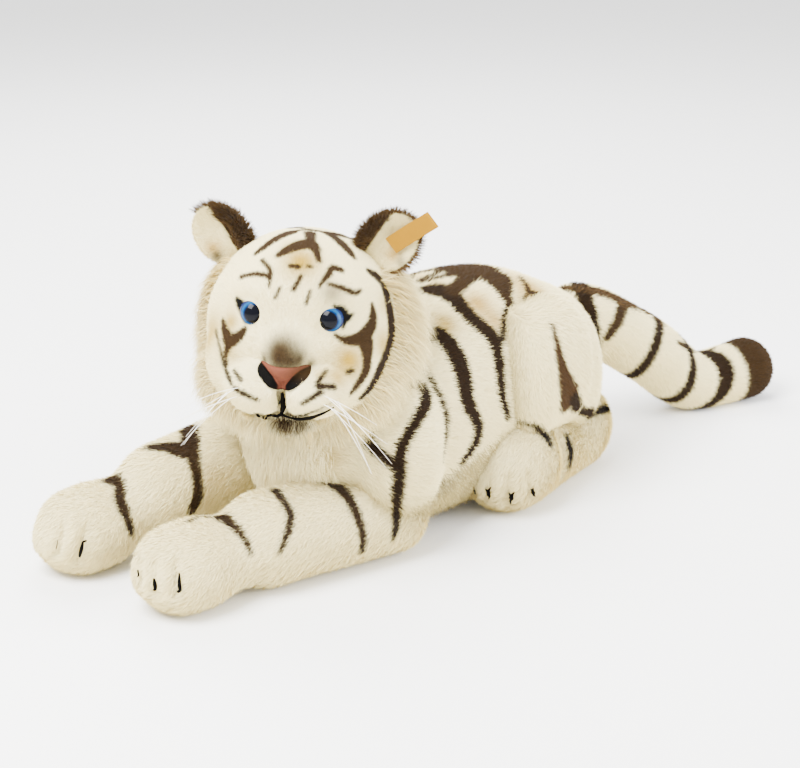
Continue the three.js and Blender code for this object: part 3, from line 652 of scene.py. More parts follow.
def thighSkin(side, h):
    # A cushion whose rings stand square to Y and round off over a dome at each end.
    length = h["thighRadii"][1] * mm
    halves = np.array([(h["thighRadii"][0], h["thighRadii"][2])] * 3) * mm
    places = np.array([(0, -length, 0), (0, 0, 0), (0, length, 0)])
    domes = (h["thighDome"] * mm,) * 2
    tube = tubeRings(places, halves, domes, h["thighRings"], h["thighSides"], h["thighPower"])
    return tubeSkin(setTube(tube, *thighStand(side, h)))


def thighStand(side, h):  # its turn and its place
    x, y, z = h["thighPlace"]
    return turnedBy(side * h["thighTurn"], "Z"), placed((side * x, y, z))


def hindFootTube(side, h):
    # From the toes back along +Y to the heel, flat on the floor, with the toes turned in.
    along, widths, heights = (np.array(h[k]) for k in ("footAlong", "footWidths", "footHeights"))
    rows = np.stack([0 * along, along * h["footLength"], heights * h["footHeight"] / 2], 1)
    halves = np.stack([widths * h["footWidth"], heights * h["footHeight"]], 1) / 2 * mm
    domes = (h["toeDome"] * mm, h["heelDome"] * mm)
    tube = tubeRings(placed(rows, 0), halves, domes, h["footRings"], h["footSides"])
    x, y, z = h["footPlace"]
    return setTube(tube, turnedBy(side * h["toeIn"], "Z"), placed((side * x, y, z)))


# Tail

tail = {
    "radius": 27, "up": 110, "reach": 220, "bend": 45, "along": (-0.06, 0, 0.12, 0.24, 0.42, 0.62, 0.8, 1),
    "drops": (0, 0, 0.1, 0.28, 0.59, 1.0, 1.03, 0.97), "bends": (0, 0, 0.05, 0.12, 0.28, 0.5, 0.75, 1),
    "sizes": (0.94, 0.965, 0.97, 0.97, 0.98, 0.9, 0.9, 1.02), "domes": (21.6, 26), "rings": 150,
    "sides": 130,
}


def tailTube(t):
    # From its root in the rump back along +Y, falling to the floor and bending to the side.
    along, drops, bends, sizes = (np.array(t[k]) for k in ("along", "drops", "bends", "sizes"))
    rows = np.stack([bends * t["bend"], along * t["reach"], -drops * (t["up"] - t["radius"])], 1)
    halves = np.stack([sizes, sizes], 1) * t["radius"] * mm
    domes = np.array(t["domes"]) * mm
    return tubeRings(placed(rows, jointPlace("tail_swing")), halves, domes, t["rings"], t["sides"])


# Head

head = {
    "radius": 71, "yaw": 39, "roll": 3, "rings": 190, "sides": 300,
    # centre, radii and blend of each rounded part that stands out of the round head
    "rounds": (
        ((18, -64, -19), (23, 28, 18.5), 4), ((-18, -64, -19), (23, 28, 18.5), 4),
        ((0, -50, 6), (18, 38, 21), 12), ((0, -50, -38), (20, 19, 13), 6),
        ((36, -38, -14), (25, 30, 27), 12), ((-36, -38, -14), (25, 30, 27), 12),
        ((0, -20, 32), (50, 44, 38), 12),
    ),
    # centre, radii and height of each soft push or press
    "pushes": (
        ((26, -56, 28), (13, 13, 12), -3), ((-26, -56, 28), (13, 13, 12), -3),
        ((27, -50, 43), (15, 15, 9), 3), ((-27, -50, 43), (15, 15, 9), 3),
        ((0, -86, -24), (3.5, 16, 9), -6), ((0, -66, 33), (10, 20, 20), -1.5),
        ((-71, -10, -12), (30, 40, 40), -4), ((71, -10, -12), (30, 40, 40), -2),
    ),
}
headTurn = turnedBy(head["yaw"], "Z") @ turnedBy(head["roll"], "Y")
headPlace = jointPlace("head_turn")


def headReach(aim, h):
    # How far the furthest of a ball and ellipsoids lies along each ray, rounded together, with
    # bell-shaped pushes and presses added.
    reach = np.full(len(aim), h["radius"] * mm)
    for centre, radii, blend in h["rounds"]:
        out = reachThrough(np.zeros(3), aim, np.array(centre) * mm, np.array(radii) * mm)
        reach = softMax(reach, out, blend * mm)
    for centre, radii, height in h["pushes"]:
        reach = reach + height * mm * mound(aim * reach[:, None], np.array(centre) * mm, np.array(radii) * mm)
    return reach


def headSkin(h):
    # Rays from the middle of the head on a grid of its own latitudes and longitudes.
    fall = np.linspace(0, np.pi, h["rings"] + 2)[1:-1]
    turn = np.linspace(0, 2 * np.pi, h["sides"], endpoint=False)
    aim = np.stack([
        np.outer(np.sin(fall), np.sin(turn)), np.outer(np.sin(fall), -np.cos(turn)),
        np.outer(np.cos(fall), np.ones(len(turn))),
    ], -1)
    aim = np.concatenate([aim.reshape(-1, 3), [(0, 0, 1), (0, 0, -1)]])
    points = aim * headReach(aim, h)[:, None]
    grid = points[:-2].reshape(len(fall), len(turn), 3)
    return skinFromGrid(grid, points[-2:], fall / np.pi, turn)


def onHead(points):  # from the head's own frame into the room
    return np.asarray(points, float) @ headTurn.T + headPlace


# All skins but the ears, by name

skins = {"head": moved(headSkin(head), headTurn, headPlace)}
tubes = {"torso": torsoTube(torso)}
for side, sideName in sideNames.items():
    legTurn = turnedBy(-foreleg["heading"], "Z")
    elbow = jointPlace(f"foreleg_{sideName}_lift")
    tubes[f"foreleg_{sideName}"] = setTube(forelegTube(side, foreleg), legTurn, elbow)
    tubes[f"hind_foot_{sideName}"] = hindFootTube(side, hind)
    skins[f"thigh_{sideName}"] = thighSkin(side, hind)
tubes["tail"] = tailTube(tail)
for name, tube in tubes.items():
    skin = tubeSkin(tube)
    skin["points"][:, 2] = np.maximum(skin["points"][:, 2], 0)
    skins[name] = renewNormals(skin)


# Ears, each a lens bent into a cup: root along X, hollow facing -Y in the ear's own frame

ear = {
    "width": 35, "height": 45, "thick": 7, "cup": 8, "angle": 41, "rings": 60, "sides": 90,
    "shift": {1: (-4, 0, 0), -1: (0, 0, -5)}, "combLift": (0, 0, 12),
    # where each ear's brown strip starts, how it slants, how softly it ends, and its part of the back
    "strip": {1: (0.54, -0.53), -1: (0.2, -0.5)}, "stripSoft": 0.05, "backFrom": {1: -2, -1: -0.2},
}


def earTurn(side):  # from the ear's own frame into the room
    return headTurn @ turnedBy(side * ear["angle"], "Y")


def earStart(side):  # the middle of its root
    return jointPlace(f"ear_{sideNames[side]}_fold") + headTurn @ (np.array(ear["shift"][side]) * mm)


def earSkin(side, e):
    # Rings grow from the middle of the front to the rim and shrink to the middle of the back.
    fall = np.concatenate([np.linspace(0, np.pi, e["rings"] + 2)[1:-1], [0, np.pi]])
    turn = np.linspace(0, 2 * np.pi, e["sides"], endpoint=False)
    across = np.outer(np.sin(fall), np.cos(turn))
    up = np.outer(np.sin(fall), np.sin(turn))
    cup = e["cup"] * (across**2 + np.maximum(up, 0) ** 2)
    depth = np.outer(np.cos(fall), np.ones(len(turn))) * e["thick"] / 2
    points = np.stack([across * e["width"] / 2, -cup - depth, (1 + up) * e["height"] / 2], -1) * mm
    skin = skinFromGrid(points[:-2], points[-2:, 0], fall[:-2] / np.pi, turn)
    middle = np.array((0, 0, e["height"] / 2)) * mm
    skin["comb"] = (skin["points"] - middle + np.array(e["combLift"]) * mm) @ earTurn(side).T
    return moved(skin, earTurn(side), earStart(side))


def earStrip(points, side):
    # The brown strip of an ear: its share at each point, beyond a slanting line on its inner side.
    limit, slope = ear["strip"][side]
    soft = ear["stripSoft"]
    inner, high = earPlace(points, side)
    return ease(limit - soft, limit + soft, inner + slope * (high - 0.5))


def earPlace(points, side):  # how far toward the inner rim, and how high, in shares of the ear
    x, _, z = ((points - earStart(side)) @ earTurn(side) / mm).T
    return -side * x / (ear["width"] / 2), z / ear["height"]


for side, sideName in sideNames.items():
    skins[f"ear_{sideName}"] = earSkin(side, ear)
print("skins worked out:", {name: len(skin["triangles"]) for name, skin in skins.items()})


# Which way the pile is combed, and where it is left out

combing = {
    "down": {"torso": 0.5, "other": 0.25}, "thigh": (0, 0.5, -1), "noseTip": (0, -92, -4),
    # how near another piece the plush lies in a fold and gets painted shade, and how deep inside it is bare,
    # in millimetres
    "foldShadeGaps": (1, 2.5, 4, 6, 8.5, 11), "bareDepth": 2.5, "floorHeight": 0.5, "floorShare": 0.25,
    "eyeMiddle": (25.5, -54.7, 28), "eyeRim": (10.3, 11.3),
    "underNose": {"ahead": -60, "foot": -17, "slope": 1.25, "rise": 19},
}


def combed(skin, field):  # the comb is the field laid flat on the skin
    normal = skin["normals"]
    skin["comb"] = unit(field - (field * normal).sum(1, keepdims=True) * normal)


def alongTube(tube, sign):  # the way along the spine, carried to the skin's vertices
    ahead = unit(np.gradient(tube["centre"], axis=0)) * sign
    sides = tube["offsets"].shape[1]
    return np.concatenate([ahead[:1], np.repeat(ahead, sides, axis=0), ahead[-1:]])


down = np.array((0, 0, -1))
for name, tube in tubes.items():
    skin = skins[name]
    field = alongTube(tube, -1 if name.startswith("hind") else 1)
    combed(skin, field + down * combing["down"].get(name, combing["down"]["other"]))
for sideName in sideNames.values():
    skin = skins[f"thigh_{sideName}"]
    combed(skin, np.broadcast_to(combing["thigh"], skin["points"].shape))
noseTip = onHead(np.array(combing["noseTip"]) * mm)
combed(skins["head"], skins["head"]["points"] - noseTip)
thighs = {f"thigh_{sideName}": thighStand(side, hind) for side, sideName in sideNames.items()}


def covered(points, others, margin):  # True where other pieces hide a point
    hidden = np.zeros(len(points), bool)
    for other in others:
        if other == "head":
            hidden |= insideBall(points, headPlace, head["radius"] * mm + margin)
        elif other in tubes:
            hidden |= insideTube(points, tubes[other], margin)
        else:
            turn, centre = thighs[other]
            hidden |= insideBall(points, centre, np.array(hind["thighRadii"]) * mm + margin, turn)
    return hidden


foldShadeGaps = combing["foldShadeGaps"]
for name, skin in skins.items():
    others = ["torso"] if name != "torso" else [o for o in skins if o != name and not o.startswith("ear")]
    if name.startswith("ear"):
        others = ["head"]
    if name.startswith("hind"):
        others = others + [name.replace("hind_foot", "thigh")]
    bare = covered(skin["points"], others, -combing["bareDepth"] * mm)
    onFloor = skin["points"][:, 2] < combing["floorHeight"] * mm
    # The fold share is painted shade in creases: how many of these gaps reach another piece.
    skin["fold"] = sum(covered(skin["points"], others, gap * mm) / len(foldShadeGaps) for gap in foldShadeGaps)
    skin["keep"] = np.where(bare, 0, np.where(onFloor, combing["floorShare"], 1))


def inHeadFrame(points):  # in millimetres from the middle of the head
    return (points - headPlace) @ headTurn / mm


eyePlaces = {side: onHead(np.array(combing["eyeMiddle"]) * (side, 1, 1) * mm) for side in sideNames}
rimInside, rimOutside = np.array(combing["eyeRim"]) * mm
for place in eyePlaces.values():
    gap = np.linalg.norm(skins["head"]["points"] - place, axis=1)
    skins["head"]["keep"] *= ease(rimInside, rimOutside, gap)
under = combing["underNose"]
across, ahead, upward = inHeadFrame(skins["head"]["points"]).T
underNose = (ahead < under["ahead"]) & (upward < 0) & (upward > under["foot"])
underNose &= np.abs(across) < under["slope"] * (upward + under["rise"])
skins["head"]["keep"] *= ~underNose
print("pile combed")


# Markings, read off the picture as (across, down, width) in its pixels. The mirrored ones are laid
# on the far side too, and the crown's on the back of the head.

marks = {
    "flank": {"on": ("torso",), "tint": "brown", "mirrored": True, "strokes": (
        ((509, 302, 6), (504, 321, 8), (501, 341, 6)),
        ((425, 291, 9), (447, 294, 15), (470, 318, 14), (491, 337, 13), (498, 361, 11), (501, 393, 8),
         (507, 416, 6)),
        ((427, 337, 12), (441, 337, 16), (456, 357, 18), (463, 379, 17), (467, 402, 14), (477, 425, 10),
         (474, 443, 8), (461, 462, 5)),
        ((421, 364, 4), (432, 382, 5), (443, 404, 5), (446, 421, 5), (441, 461, 3)),
    )},
    "spine": {"on": ("torso",), "tint": "sable", "mirrored": True, "strokes": (
        ((449, 277, 5), (462, 272, 11), (477, 269, 18), (488, 272, 20), (499, 285, 15), (505, 297, 10),
         (509, 304, 7)), ((474, 272, 15), (462, 284, 12), (452, 292, 13)), ((420, 284, 3), (445, 277, 4)),
        ((520, 279, 3), (527, 291, 5), (522, 306, 3)), ((484, 268, 14), (494, 270, 14)),
        ((527, 294, 4), (541, 297, 5), (557, 305, 4), (568, 316, 2)),
    )},
    "shoulder": {"on": ("torso", "foreleg_left"), "tint": "brown", "mirrored": True, "strokes": (
        ((372, 420, 9), (370, 442, 11), (382, 455, 12), (396, 466, 12), (400, 476, 14)),
        ((407, 387, 6), (416, 385, 9), (424, 392, 10), (424, 405, 11), (414, 425, 12), (402, 447, 13),
         (400, 468, 14), (399, 480, 14), (397, 505, 11), (394, 530, 7), (391, 540, 2)),
    )},
    "thigh": {"on": ("thigh_left",), "tint": "rust", "mirrored": True, "strokes": (
        ((552, 327, 4), (556, 345, 6), (560, 365, 9), (564, 382, 13), (568, 397, 17)),
    )},
    "hock": {"on": ("hind_foot_left", "thigh_left", "torso"), "tint": "brown", "mirrored": True, "strokes": (
        ((572, 398, 8), (576, 406, 11), (585, 412, 10), (595, 412, 9), (606, 409, 8), (614, 415, 3),
         (617, 424, 2)),
        ((515, 421, 3), (527, 423, 4), (537, 427, 7), (545, 437, 7), (551, 447, 3)),
        ((566, 437, 4), (570, 452, 5), (569, 466, 3)),
    )},
    "nearLeg": {"on": ("foreleg_left",), "tint": "sable", "strokes": (
        ((190, 522, 4), (207, 515, 6), (222, 519, 9), (237, 531, 9), (247, 545, 7), (250, 555, 4)),
        ((272, 488, 5), (285, 505, 8), (290, 517, 9), (286, 535, 8), (279, 552, 5)),
        ((272, 488, 4), (297, 482, 6), (312, 478, 9), (328, 481, 11), (345, 495, 11), (356, 515, 10),
         (362, 535, 8), (361, 551, 5)),
    )},
    "farLeg": {"on": ("foreleg_right",), "tint": "sable", "strokes": (
        ((97, 479, 5), (110, 480, 9), (120, 486, 12), (119, 498, 12), (124, 512, 11), (131, 533, 6)),
        ((189, 425, 12), (190, 440, 19), (193, 460, 14), (197, 480, 11), (196, 498, 11), (191, 511, 7)),
        ((145, 448, 4), (165, 448, 9), (182, 450, 18)),
    )},
    "tail": {"on": ("tail",), "tint": "sable", "strokes": (
        ((556, 290, 9), (580, 290, 12), (600, 293, 15), (620, 301, 16), (640, 309, 12), (652, 315, 9),
         (658, 322, 8)), ((677, 343, 3), (695, 352, 4), (710, 351, 4), (724, 343, 4)),
        ((622, 306, 10), (617, 320, 11), (608, 335, 9)),
    )},
    "crown": {"on": ("head",), "tint": "sable", "behind": True, "strokes": (
        ((257, 253, 4), (270, 243, 6), (282, 236, 7), (297, 231, 8), (317, 231, 8), (332, 236, 7),
         (345, 247, 7), (353, 257, 4)),
    )},
    "forehead": {"on": ("head",), "tint": "sable", "strokes": (
        ((310, 233, 11), (311, 243, 11)),
        ((279, 255, 6), (292, 248, 9), (307, 244, 10), (315, 249, 9), (319, 261, 6)),
        ((290, 266, 5), (298, 267, 6)), ((308, 266, 4), (311, 267, 4)), ((301, 276, 5), (294, 289, 6)),
        ((280, 288, 4), (275, 298, 4)), ((310, 291, 4), (306, 304, 4)),
        ((262, 260, 5), (270, 270, 6), (270, 280, 5), (269, 287, 3)),
        ((241, 277, 4), (255, 274, 5), (267, 276, 6), (270, 280, 5)),
        ((341, 270, 6), (332, 268, 7), (329, 274, 8), (322, 282, 5), (319, 288, 3)),
        ((329, 284, 4), (342, 288, 6), (355, 293, 6), (361, 290, 4)),
    )},
    "underEyes": {"on": ("head",), "tint": "sable", "strokes": (
        ((335, 335, 4), (345, 340, 9), (359, 339, 15), (369, 330, 13), (373, 318, 9), (372, 305, 4)),
        ((366, 342, 16), (367, 355, 11), (366, 370, 9), (358, 384, 7), (351, 393, 4)),
        ((223, 321, 4), (226, 333, 9), (230, 340, 15), (238, 337, 11), (245, 329, 6)),
        ((229, 344, 10), (226, 355, 5), (227, 366, 4)),
    )},
    "cheeks": {"on": ("head",), "tint": "brown", "strokes": (
        ((368, 271, 4), (380, 280, 7), (387, 297, 7), (391, 320, 8), (391, 340, 8), (383, 364, 8),
         (373, 384, 7), (361, 398, 4)),
        ((216, 330, 2), (221, 352, 3), (225, 368, 4), (232, 384, 3)), ((348, 372, 6), (352, 371, 6)),
        ((234, 370, 4), (241, 381, 5)), ((234, 388, 5), (246, 395, 6), (257, 400, 4)),
        ((327, 370, 4), (318, 382, 6)), ((318, 386, 7), (334, 387, 7)), ((302, 404, 5), (321, 392, 7)),
    )},
    "mouth": {"on": ("head",), "tint": "black", "strokes": (
        ((280, 389, 6), (281, 402, 5), (282, 413, 6)), ((256, 413, 3), (270, 415, 5), (282, 414, 6)),
        ((282, 414, 6), (295, 416, 5), (307, 416, 5), (322, 411, 5), (334, 404, 3)),
        ((334, 306, 4), (342, 311, 11), (347, 317, 9), (353, 314, 3)), ((346, 318, 8), (343, 327, 4)),
        ((237, 299, 4), (241, 305, 10), (245, 311, 12), (246, 320, 6)),
    )},
}

# Sewn claws and the closed lips, each a dark thread laid on the pile
seams = {
    "foreleg_left": (
        ((178, 573, 1.6), (178, 583, 4), (179, 591, 3)), ((154, 578, 1.4), (155, 584, 3.4), (156, 589, 2)),
        ((139, 571, 1), (140, 577, 1.2)),
    ),
    "foreleg_right": (((85, 540, 1.6), (83, 549, 4), (81, 556, 2.6)), ((61, 540, 1), (59, 549, 1.4))),
    "hind_foot_left": (
        ((485, 487, 1), (488, 491, 3), (492, 496, 1)), ((493, 486, 1), (490, 491, 3), (488, 497, 1)),
        ((507, 491, 1), (510, 496, 3.4), (512, 502, 1)), ((515, 490, 1), (512, 495, 3), (508, 500, 1)),
        ((528, 488, 1), (531, 491, 2.6), (535, 494, 1)), ((533, 486, 1), (532, 490, 2.4), (531, 495, 1)),
        ((475, 484, 1), (476, 488, 2), (477, 492, 1)),
    ),
    "head": (
        ((280, 391, 2.6), (281, 402, 3.4), (282, 413, 5.4)),
        ((257, 413, 1.8), (264, 415, 2.6), (273, 415, 3), (282, 413, 4)),
        ((282, 413, 4), (292, 416, 3), (307, 416, 3), (322, 411, 2.6), (333, 405, 1.6)),
    ),
}

# Soft tints, as (across, down, radius in pixels, tint, strength). The torso's are mirrored.
washes = {
    "torso": (
        (478, 305, 17, "beige", 0.85), (495, 322, 13, "beige", 0.7), (530, 290, 26, "beige", 0.8),
        (446, 325, 14, "gold", 0.8), (322, 456, 20, "gold", 0.7), (440, 286, 12, "beige", 0.5),
    ),
    "head": (
        (302, 262, 20, "gold", 0.95), (350, 360, 18, "gold", 0.95), (384, 345, 16, "gold", 0.7),
        (212, 335, 24, "gold", 0.8), (296, 246, 14, "gold", 0.5), (338, 378, 12, "gold", 0.7),
        (281, 350, 22, "grey", 0.95), (281, 351, 17, "sable", 0.9), (266, 360, 9, "sable", 0.9),
        (300, 360, 12, "sable", 0.95), (311, 364, 6, "sable", 0.9), (279, 359, 12, "sable", 0.95),
        (290, 361, 9, "sable", 0.9), (232, 322, 10, "gold", 0.8), (333, 292, 12, "grey", 0.8),
        (386, 305, 12, "gold", 0.5), (230, 352, 12, "gold", 0.6), (322, 375, 9, "gold", 0.5),
    ),
    # Each ear's beige and sable spots are painted shade in the hollow at its base.
    "ear_right": ((214, 248, 9, "beige", 0.8), (218, 256, 6, "sable", 0.9)),
    "ear_left": ((394, 254, 9, "beige", 0.8), (402, 262, 6, "sable", 0.6)),
    "foreleg_right": ((215, 480, 22, "gold", 0.4),),
}


def nearestVertices(skin, line):  # one for each point of the line
    return [((skin["points"] - spot) ** 2).sum(1).argmin() for spot in line]


def laidOn(skin, lines, slack=2 * mm):
    # Each point of a line that stands off the skin is moved to the skin's nearest vertex.
    found = []
    for line, halves in lines:
        nearest = skin["points"][nearestVertices(skin, line)]
        off = np.linalg.norm(nearest - line, axis=1, keepdims=True) > slack
        found.append((np.where(off, nearest, line), halves))
    return found


def markInks():
    # The strokes as lines in space, by the skins that carry them, with their tints.
    inks = {name: [] for name in skins}
    for mark in marks.values():
        for name in mark["on"]:
            lines = strokesOn(skins[name], mark["strokes"])
            inks[name].append((lines, tints[mark["tint"]]))
            other = name.replace("left", "right")
            if mark.get("behind"):
                inks[name].append((overTheCrown(lines), tints[mark["tint"]]))
            if mark.get("mirrored"):
                inks[other].append((laidOn(skins[other], overTheMiddle(lines)), tints[mark["tint"]]))
    return inks


def washSpots():
    # The tints as bells in space, by the skins that carry them: middle, size, tint and share.
    spots = {name: [] for name in skins}
    for name, wash in washes.items():
        for across, downward, radius, tint, share in wash:
            drawn = ((across - 1, downward, 2), (across + 1, downward, 2))
            for line, _ in strokesOn(skins[name], [drawn], 2):
                size = radius * np.linalg.norm(line[0] - lookThrough["eye"]) / lookThrough["focal"]
                spots[name].append((line[0], size, tints[tint], share))
                if name == "torso":
                    spots[name].append((mirrored(line[0]), size, tints[tint], share))
    return spots


# Grooves pressed along drawn lines: depth and radius in millimetres, then (across, down) in pixels
grooves = {
    "foreleg_left": (4.0, 4.2, (
        ((178, 560), (179, 592)), ((155, 564), (156, 592)), ((140, 560), (140, 582)),
    )),
    "foreleg_right": (4.0, 4.2, (((88, 528), (80, 560)), ((63, 526), (58, 553)))),
    "hind_foot_left": (3.2, 3.4, (
        ((490, 474), (489, 506)), ((510, 476), (511, 510)), ((530, 474), (533, 502)),
        ((558, 436), (563, 456), (561, 478)), ((562, 442), (566, 458), (564, 474)),
    )),
    "head": (3.2, 3.0, (((281, 392), (282, 414)), ((258, 414), (282, 416), (307, 418), (334, 406)))),
}
grooveWidth = 1


def pressed(skin, lines, depth, radius):  # sunk along the lines by a bell of the gap to them
    gap = np.maximum(gapTo(skin["points"], lines, 3 * radius), 0)
    skin["points"] -= skin["normals"] * (depth * np.exp(-((gap / radius) ** 2)))[:, None]
    renewNormals(skin)


def mirrored(places):  # on the other side of the toy
    return places * (-1, 1, 1) + (2 * midX, 0, 0)


def overTheMiddle(lines):  # the same lines on the other side
    return [(mirrored(line), halves) for line, halves in lines]


crownStretch = 1.25  # how much further back than forward the crown's lines lie


def overTheCrown(lines):  # the same lines on the back of the head, for its unseen side
    found = []
    for line, halves in lines:
        own = unit((line - headPlace) @ headTurn * (1, -crownStretch, 1))
        found.append((onHead(own * headReach(own, head)[:, None]), halves))
    return found


seamLines = {name: strokesOn(skins[name], drawn) for name, drawn in seams.items()}
seamLines["hind_foot_right"] = overTheMiddle(seamLines["hind_foot_left"])
inks = markInks()
spots = washSpots()
for name, (depth, radius, drawn) in grooves.items():
    lines = strokesOn(skins[name], [[(*spot, grooveWidth) for spot in line] for line in drawn])
    pressed(skins[name], lines, depth * mm, radius * mm)
    if name == "hind_foot_left":
        pressed(skins["hind_foot_right"], overTheMiddle(lines), depth * mm, radius * mm)

# The tail's rings, each by its two ends, the bulge across at the middle and the width, in pixels
tailRings = (
    (583, 293, 592, 344, 2, 19), (657, 322, 638, 371, 7, 15), (690, 354, 675, 398, 9, 15),
    (716, 358, 720, 394, 8, 19),
)
tailMarks = {"widthShare": 0.76, "reach": 2.6, "tip": (0.835, 0.85)}


def tailBands():
    # A ring is where a plane cuts the tail: through its two drawn ends and the skin midway.
    bands = []
    for x1, y1, x2, y2, bulge, width in tailRings:
        drawn = ((x1, y1, width), ((x1 + x2) / 2 + bulge, (y1 + y2) / 2, width), (x2, y2, width))
        for line, _ in strokesOn(skins["tail"], [drawn], 1):
            if len(line) == 3:
                plane = unit(np.cross(line[2] - line[0], line[1] - line[0]))
                bands.append((line[1], plane, width / 2 * tailMarks["widthShare"] * mm))
    return bands


bands = tailBands()
# Shares of painted shade: cream on faces turned down, the fold tint in folds (less on the hind feet), and the
# backing's darkening under the pile; the first share is plain cream everywhere.
coatShares = {
    "cream": 0.08, "creamShadeBelow": 0.38, "facingDown": (0.6, -0.5), "fold": 0.65, "foldShadeHind": 0.12,
    "backing": 0.9,
}


def coatAt(name, points, along, normals, fold):
    # White with painted shade, creamier where it faces down and darker in a fold, under the tints and the
    # marks.
    shares = coatShares
    # Faces turned down are drawn toward cream: painted shade.
    cream = shares["cream"] + shares["creamShadeBelow"] * ease(*shares["facingDown"], normals[:, 2])
    coat = mixed(plainCoat("white", len(points)), tints["cream"], cream)
    # A point in a fold near another piece is drawn toward the fold tint: painted shade.
    coat = mixed(coat, tints["fold"], shares["foldShadeHind" if name.startswith("hind") else "fold"] * fold)
    for spot, radius, tint, share in spots[name]:
        coat = mixed(coat, tint, share * np.exp(-((points - spot) ** 2).sum(1) / radius**2))
    for lines, tint in inks[name]:
        coat = mixed(coat, tint, inkAt(points, lines))
    if name.startswith("ear"):
        coat = mixed(coat, tints["sable"], earStrip(points, 1 if name == "ear_left" else -1))
    if name == "tail":
        for middle, plane, half in bands:
            gap = np.abs((points - middle) @ plane)
            near = ((points - middle) ** 2).sum(1) < (tailMarks["reach"] * tail["radius"] * mm) ** 2
            coat = mixed(coat, tints["brown"], near * ease(half + mm, half - mm, gap))
        coat = mixed(coat, tints["sable"], ease(*tailMarks["tip"], along))
    return coat


# Dressing: a backing and its pile on every skin

coverNodes = {}
bodies = {}
for name in skins:
    ends = ("back", "lining") if name.startswith("ear") else ("cover", "stuffing")
    coverNodes[name] = [f"{name}_{end}" for end in ends]
    bodies[name] = name if name.startswith(("head", "tail", "foreleg", "ear")) else "torso"
coverNodes["torso"] = ("back_cover", "torso_stuffing")
mostTriangles = 190000


def addPile(name, skinName, density, seed, style, keep, length=None, coat=None):
    # Pile in as many pieces as keep each one light. Its colour is read half a blade along the comb.
    skin = skins[skinName]
    roots = scattered(skin, density, seed, keep)
    sizes = np.full(len(roots["points"]), style["length"])
    if length is not None:
        sizes = atRoots(roots, length)
    ragged = roots["rng"].normal(0, style["ragged"], roots["points"].shape)
    read = roots["points"] + unit(roots["comb"]) * sizes[:, None] * style["readAhead"] + ragged
    if coat is None:
        tones = coatAt(skinName, read, roots["along"], roots["normals"], atRoots(roots, skin["fold"]))
    else:
        tones = coat(roots)
    count = len(sizes)
    parts = int(np.ceil(count * (2 * style["levels"] - 1) / mostTriangles))
    made = []
    for part in range(parts):
        pick = slice(part, count, parts)
        some = {key: value[pick] for key, value in roots.items() if key != "rng"}
        some["rng"] = roots["rng"]
        label = name if parts == 1 else f"{name}_{part + 1}"
        blades = pileMesh(label, some, tones[pick], style, sizes[pick])
        blades.data.materials.append(pile)
        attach(blades, bodies[skinName])
        made.append(blades)
    print("pile:", name, count, "blades in", parts)
    return made


densities = {"head": 3.4, "ear_left": 4.0, "ear_right": 4.0, "other": 2.0}
plushSeed = 100
for seed, (name, skin) in enumerate(skins.items(), plushSeed):
    coat = coatAt(name, skin["points"], skin["along"], skin["normals"], skin["fold"])
    # The skin under the pile is darkened by the backing share: painted shade at the pile's roots.
    shape = skinObject(f"{name}_plush", skin, coat * coatShares["backing"], backing)
    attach(shape, bodies[name])
    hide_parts(*coverNodes[name])
    style = facePile if name.startswith(("head", "ear")) else shortPile
    density = densities.get(name, densities["other"])
    addPile(f"{name}_pile", name, density, seed, style, skin["keep"])
print("plush made")


thread = {
    "flatness": 0.5, "ends": 0.8, "rings": 40, "sides": 16,
    # how far each seam's thread is held above its skin, in millimetres
    "raised": {
        "head": 1.7, "foreleg_left": 2.2, "foreleg_right": 2.2, "hind_foot_left": 2.2, "hind_foot_right": 2.2,
    },
}


def threads(skinName, t):
    # A rounded band along each seam line, its middle held above the skin by the raise.
    parts = []
    skin = skins[skinName]
    for line, halves in seamLines[skinName]:
        normals = skin["normals"][nearestVertices(skin, line)]
        path = line + normals * (t["raised"][skinName] * mm)
        sizes = np.stack([halves, halves * t["flatness"]], 1)
        ends = (halves[0] * t["ends"], halves[-1] * t["ends"])
        upright = unit(normals.mean(0))
        parts.append(tubeSkin(tubeRings(path, sizes, ends, t["rings"], t["sides"], upright=upright)))
    whole = joined(parts)
    shape = skinObject(f"{skinName}_stitches", whole, plainCoat("black", len(whole["points"])), threadCloth)
    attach(shape, bodies[skinName])


# Long pile: the ruff round the face, the chest, the chin, the belly, the ears and the tail

longPile = {
    "length": 20 * mm, "width": 0.55 * mm, "lift": 32, "liftSpread": 9, "stray": 0.2, "uneven": 0.4,
    "curl": -0.24, "droop": 0.12, "roll": 30, "levels": 3, "sink": 0.5 * mm, "tipLightTone": 1.04,
    "rootShadeTone": 0.86, "flicker": 0.045, "floor": 0.3 * mm, "ragged": 1.5 * mm, "readAhead": 0.5,
}


toneWaves = {"across": (7, 11), "onward": (9, 8), "shift": 1.3, "waveShare": 0.7, "randomShare": 0.3}


def toned(*layers):
    # A coat of one tint with others laid on in shares that change from blade to blade and place
    # to place: waves in space, in millimetres, times a random part.
    w = toneWaves

    def coat(roots):
        x, y, z = roots["points"].T / mm
        swing = np.sin(x / w["across"][0] + z / w["across"][1])
        swing = swing + np.sin(y / w["onward"][0] - z / w["onward"][1] + w["shift"])
        wave = 0.5 + 0.25 * swing
        colours = plainCoat(layers[0], len(x))
        for tint, share in layers[1:]:
            random = roots["rng"].random(len(x))
            colours = mixed(colours, tints[tint], share * (w["waveShare"] * wave + w["randomShare"] * random))
            wave = 1 - wave
        return colours
    return coat


def longPileOn(name, carrier, field, keep, density, seed, coat, **changes):
    # The carrier's skin under a new name, combed its own way.
    skin = dict(skins[carrier])
    skins[name] = skin
    bodies[name] = bodies[carrier]
    combed(skin, field)
    slot = changes.pop("slot", "long_pile_cream")
    lengths = changes.pop("lengths", None)
    style = {**longPile, **changes}
    return addPile(f"{name}_pile", name, density, seed, style, keep, lengths, coat)


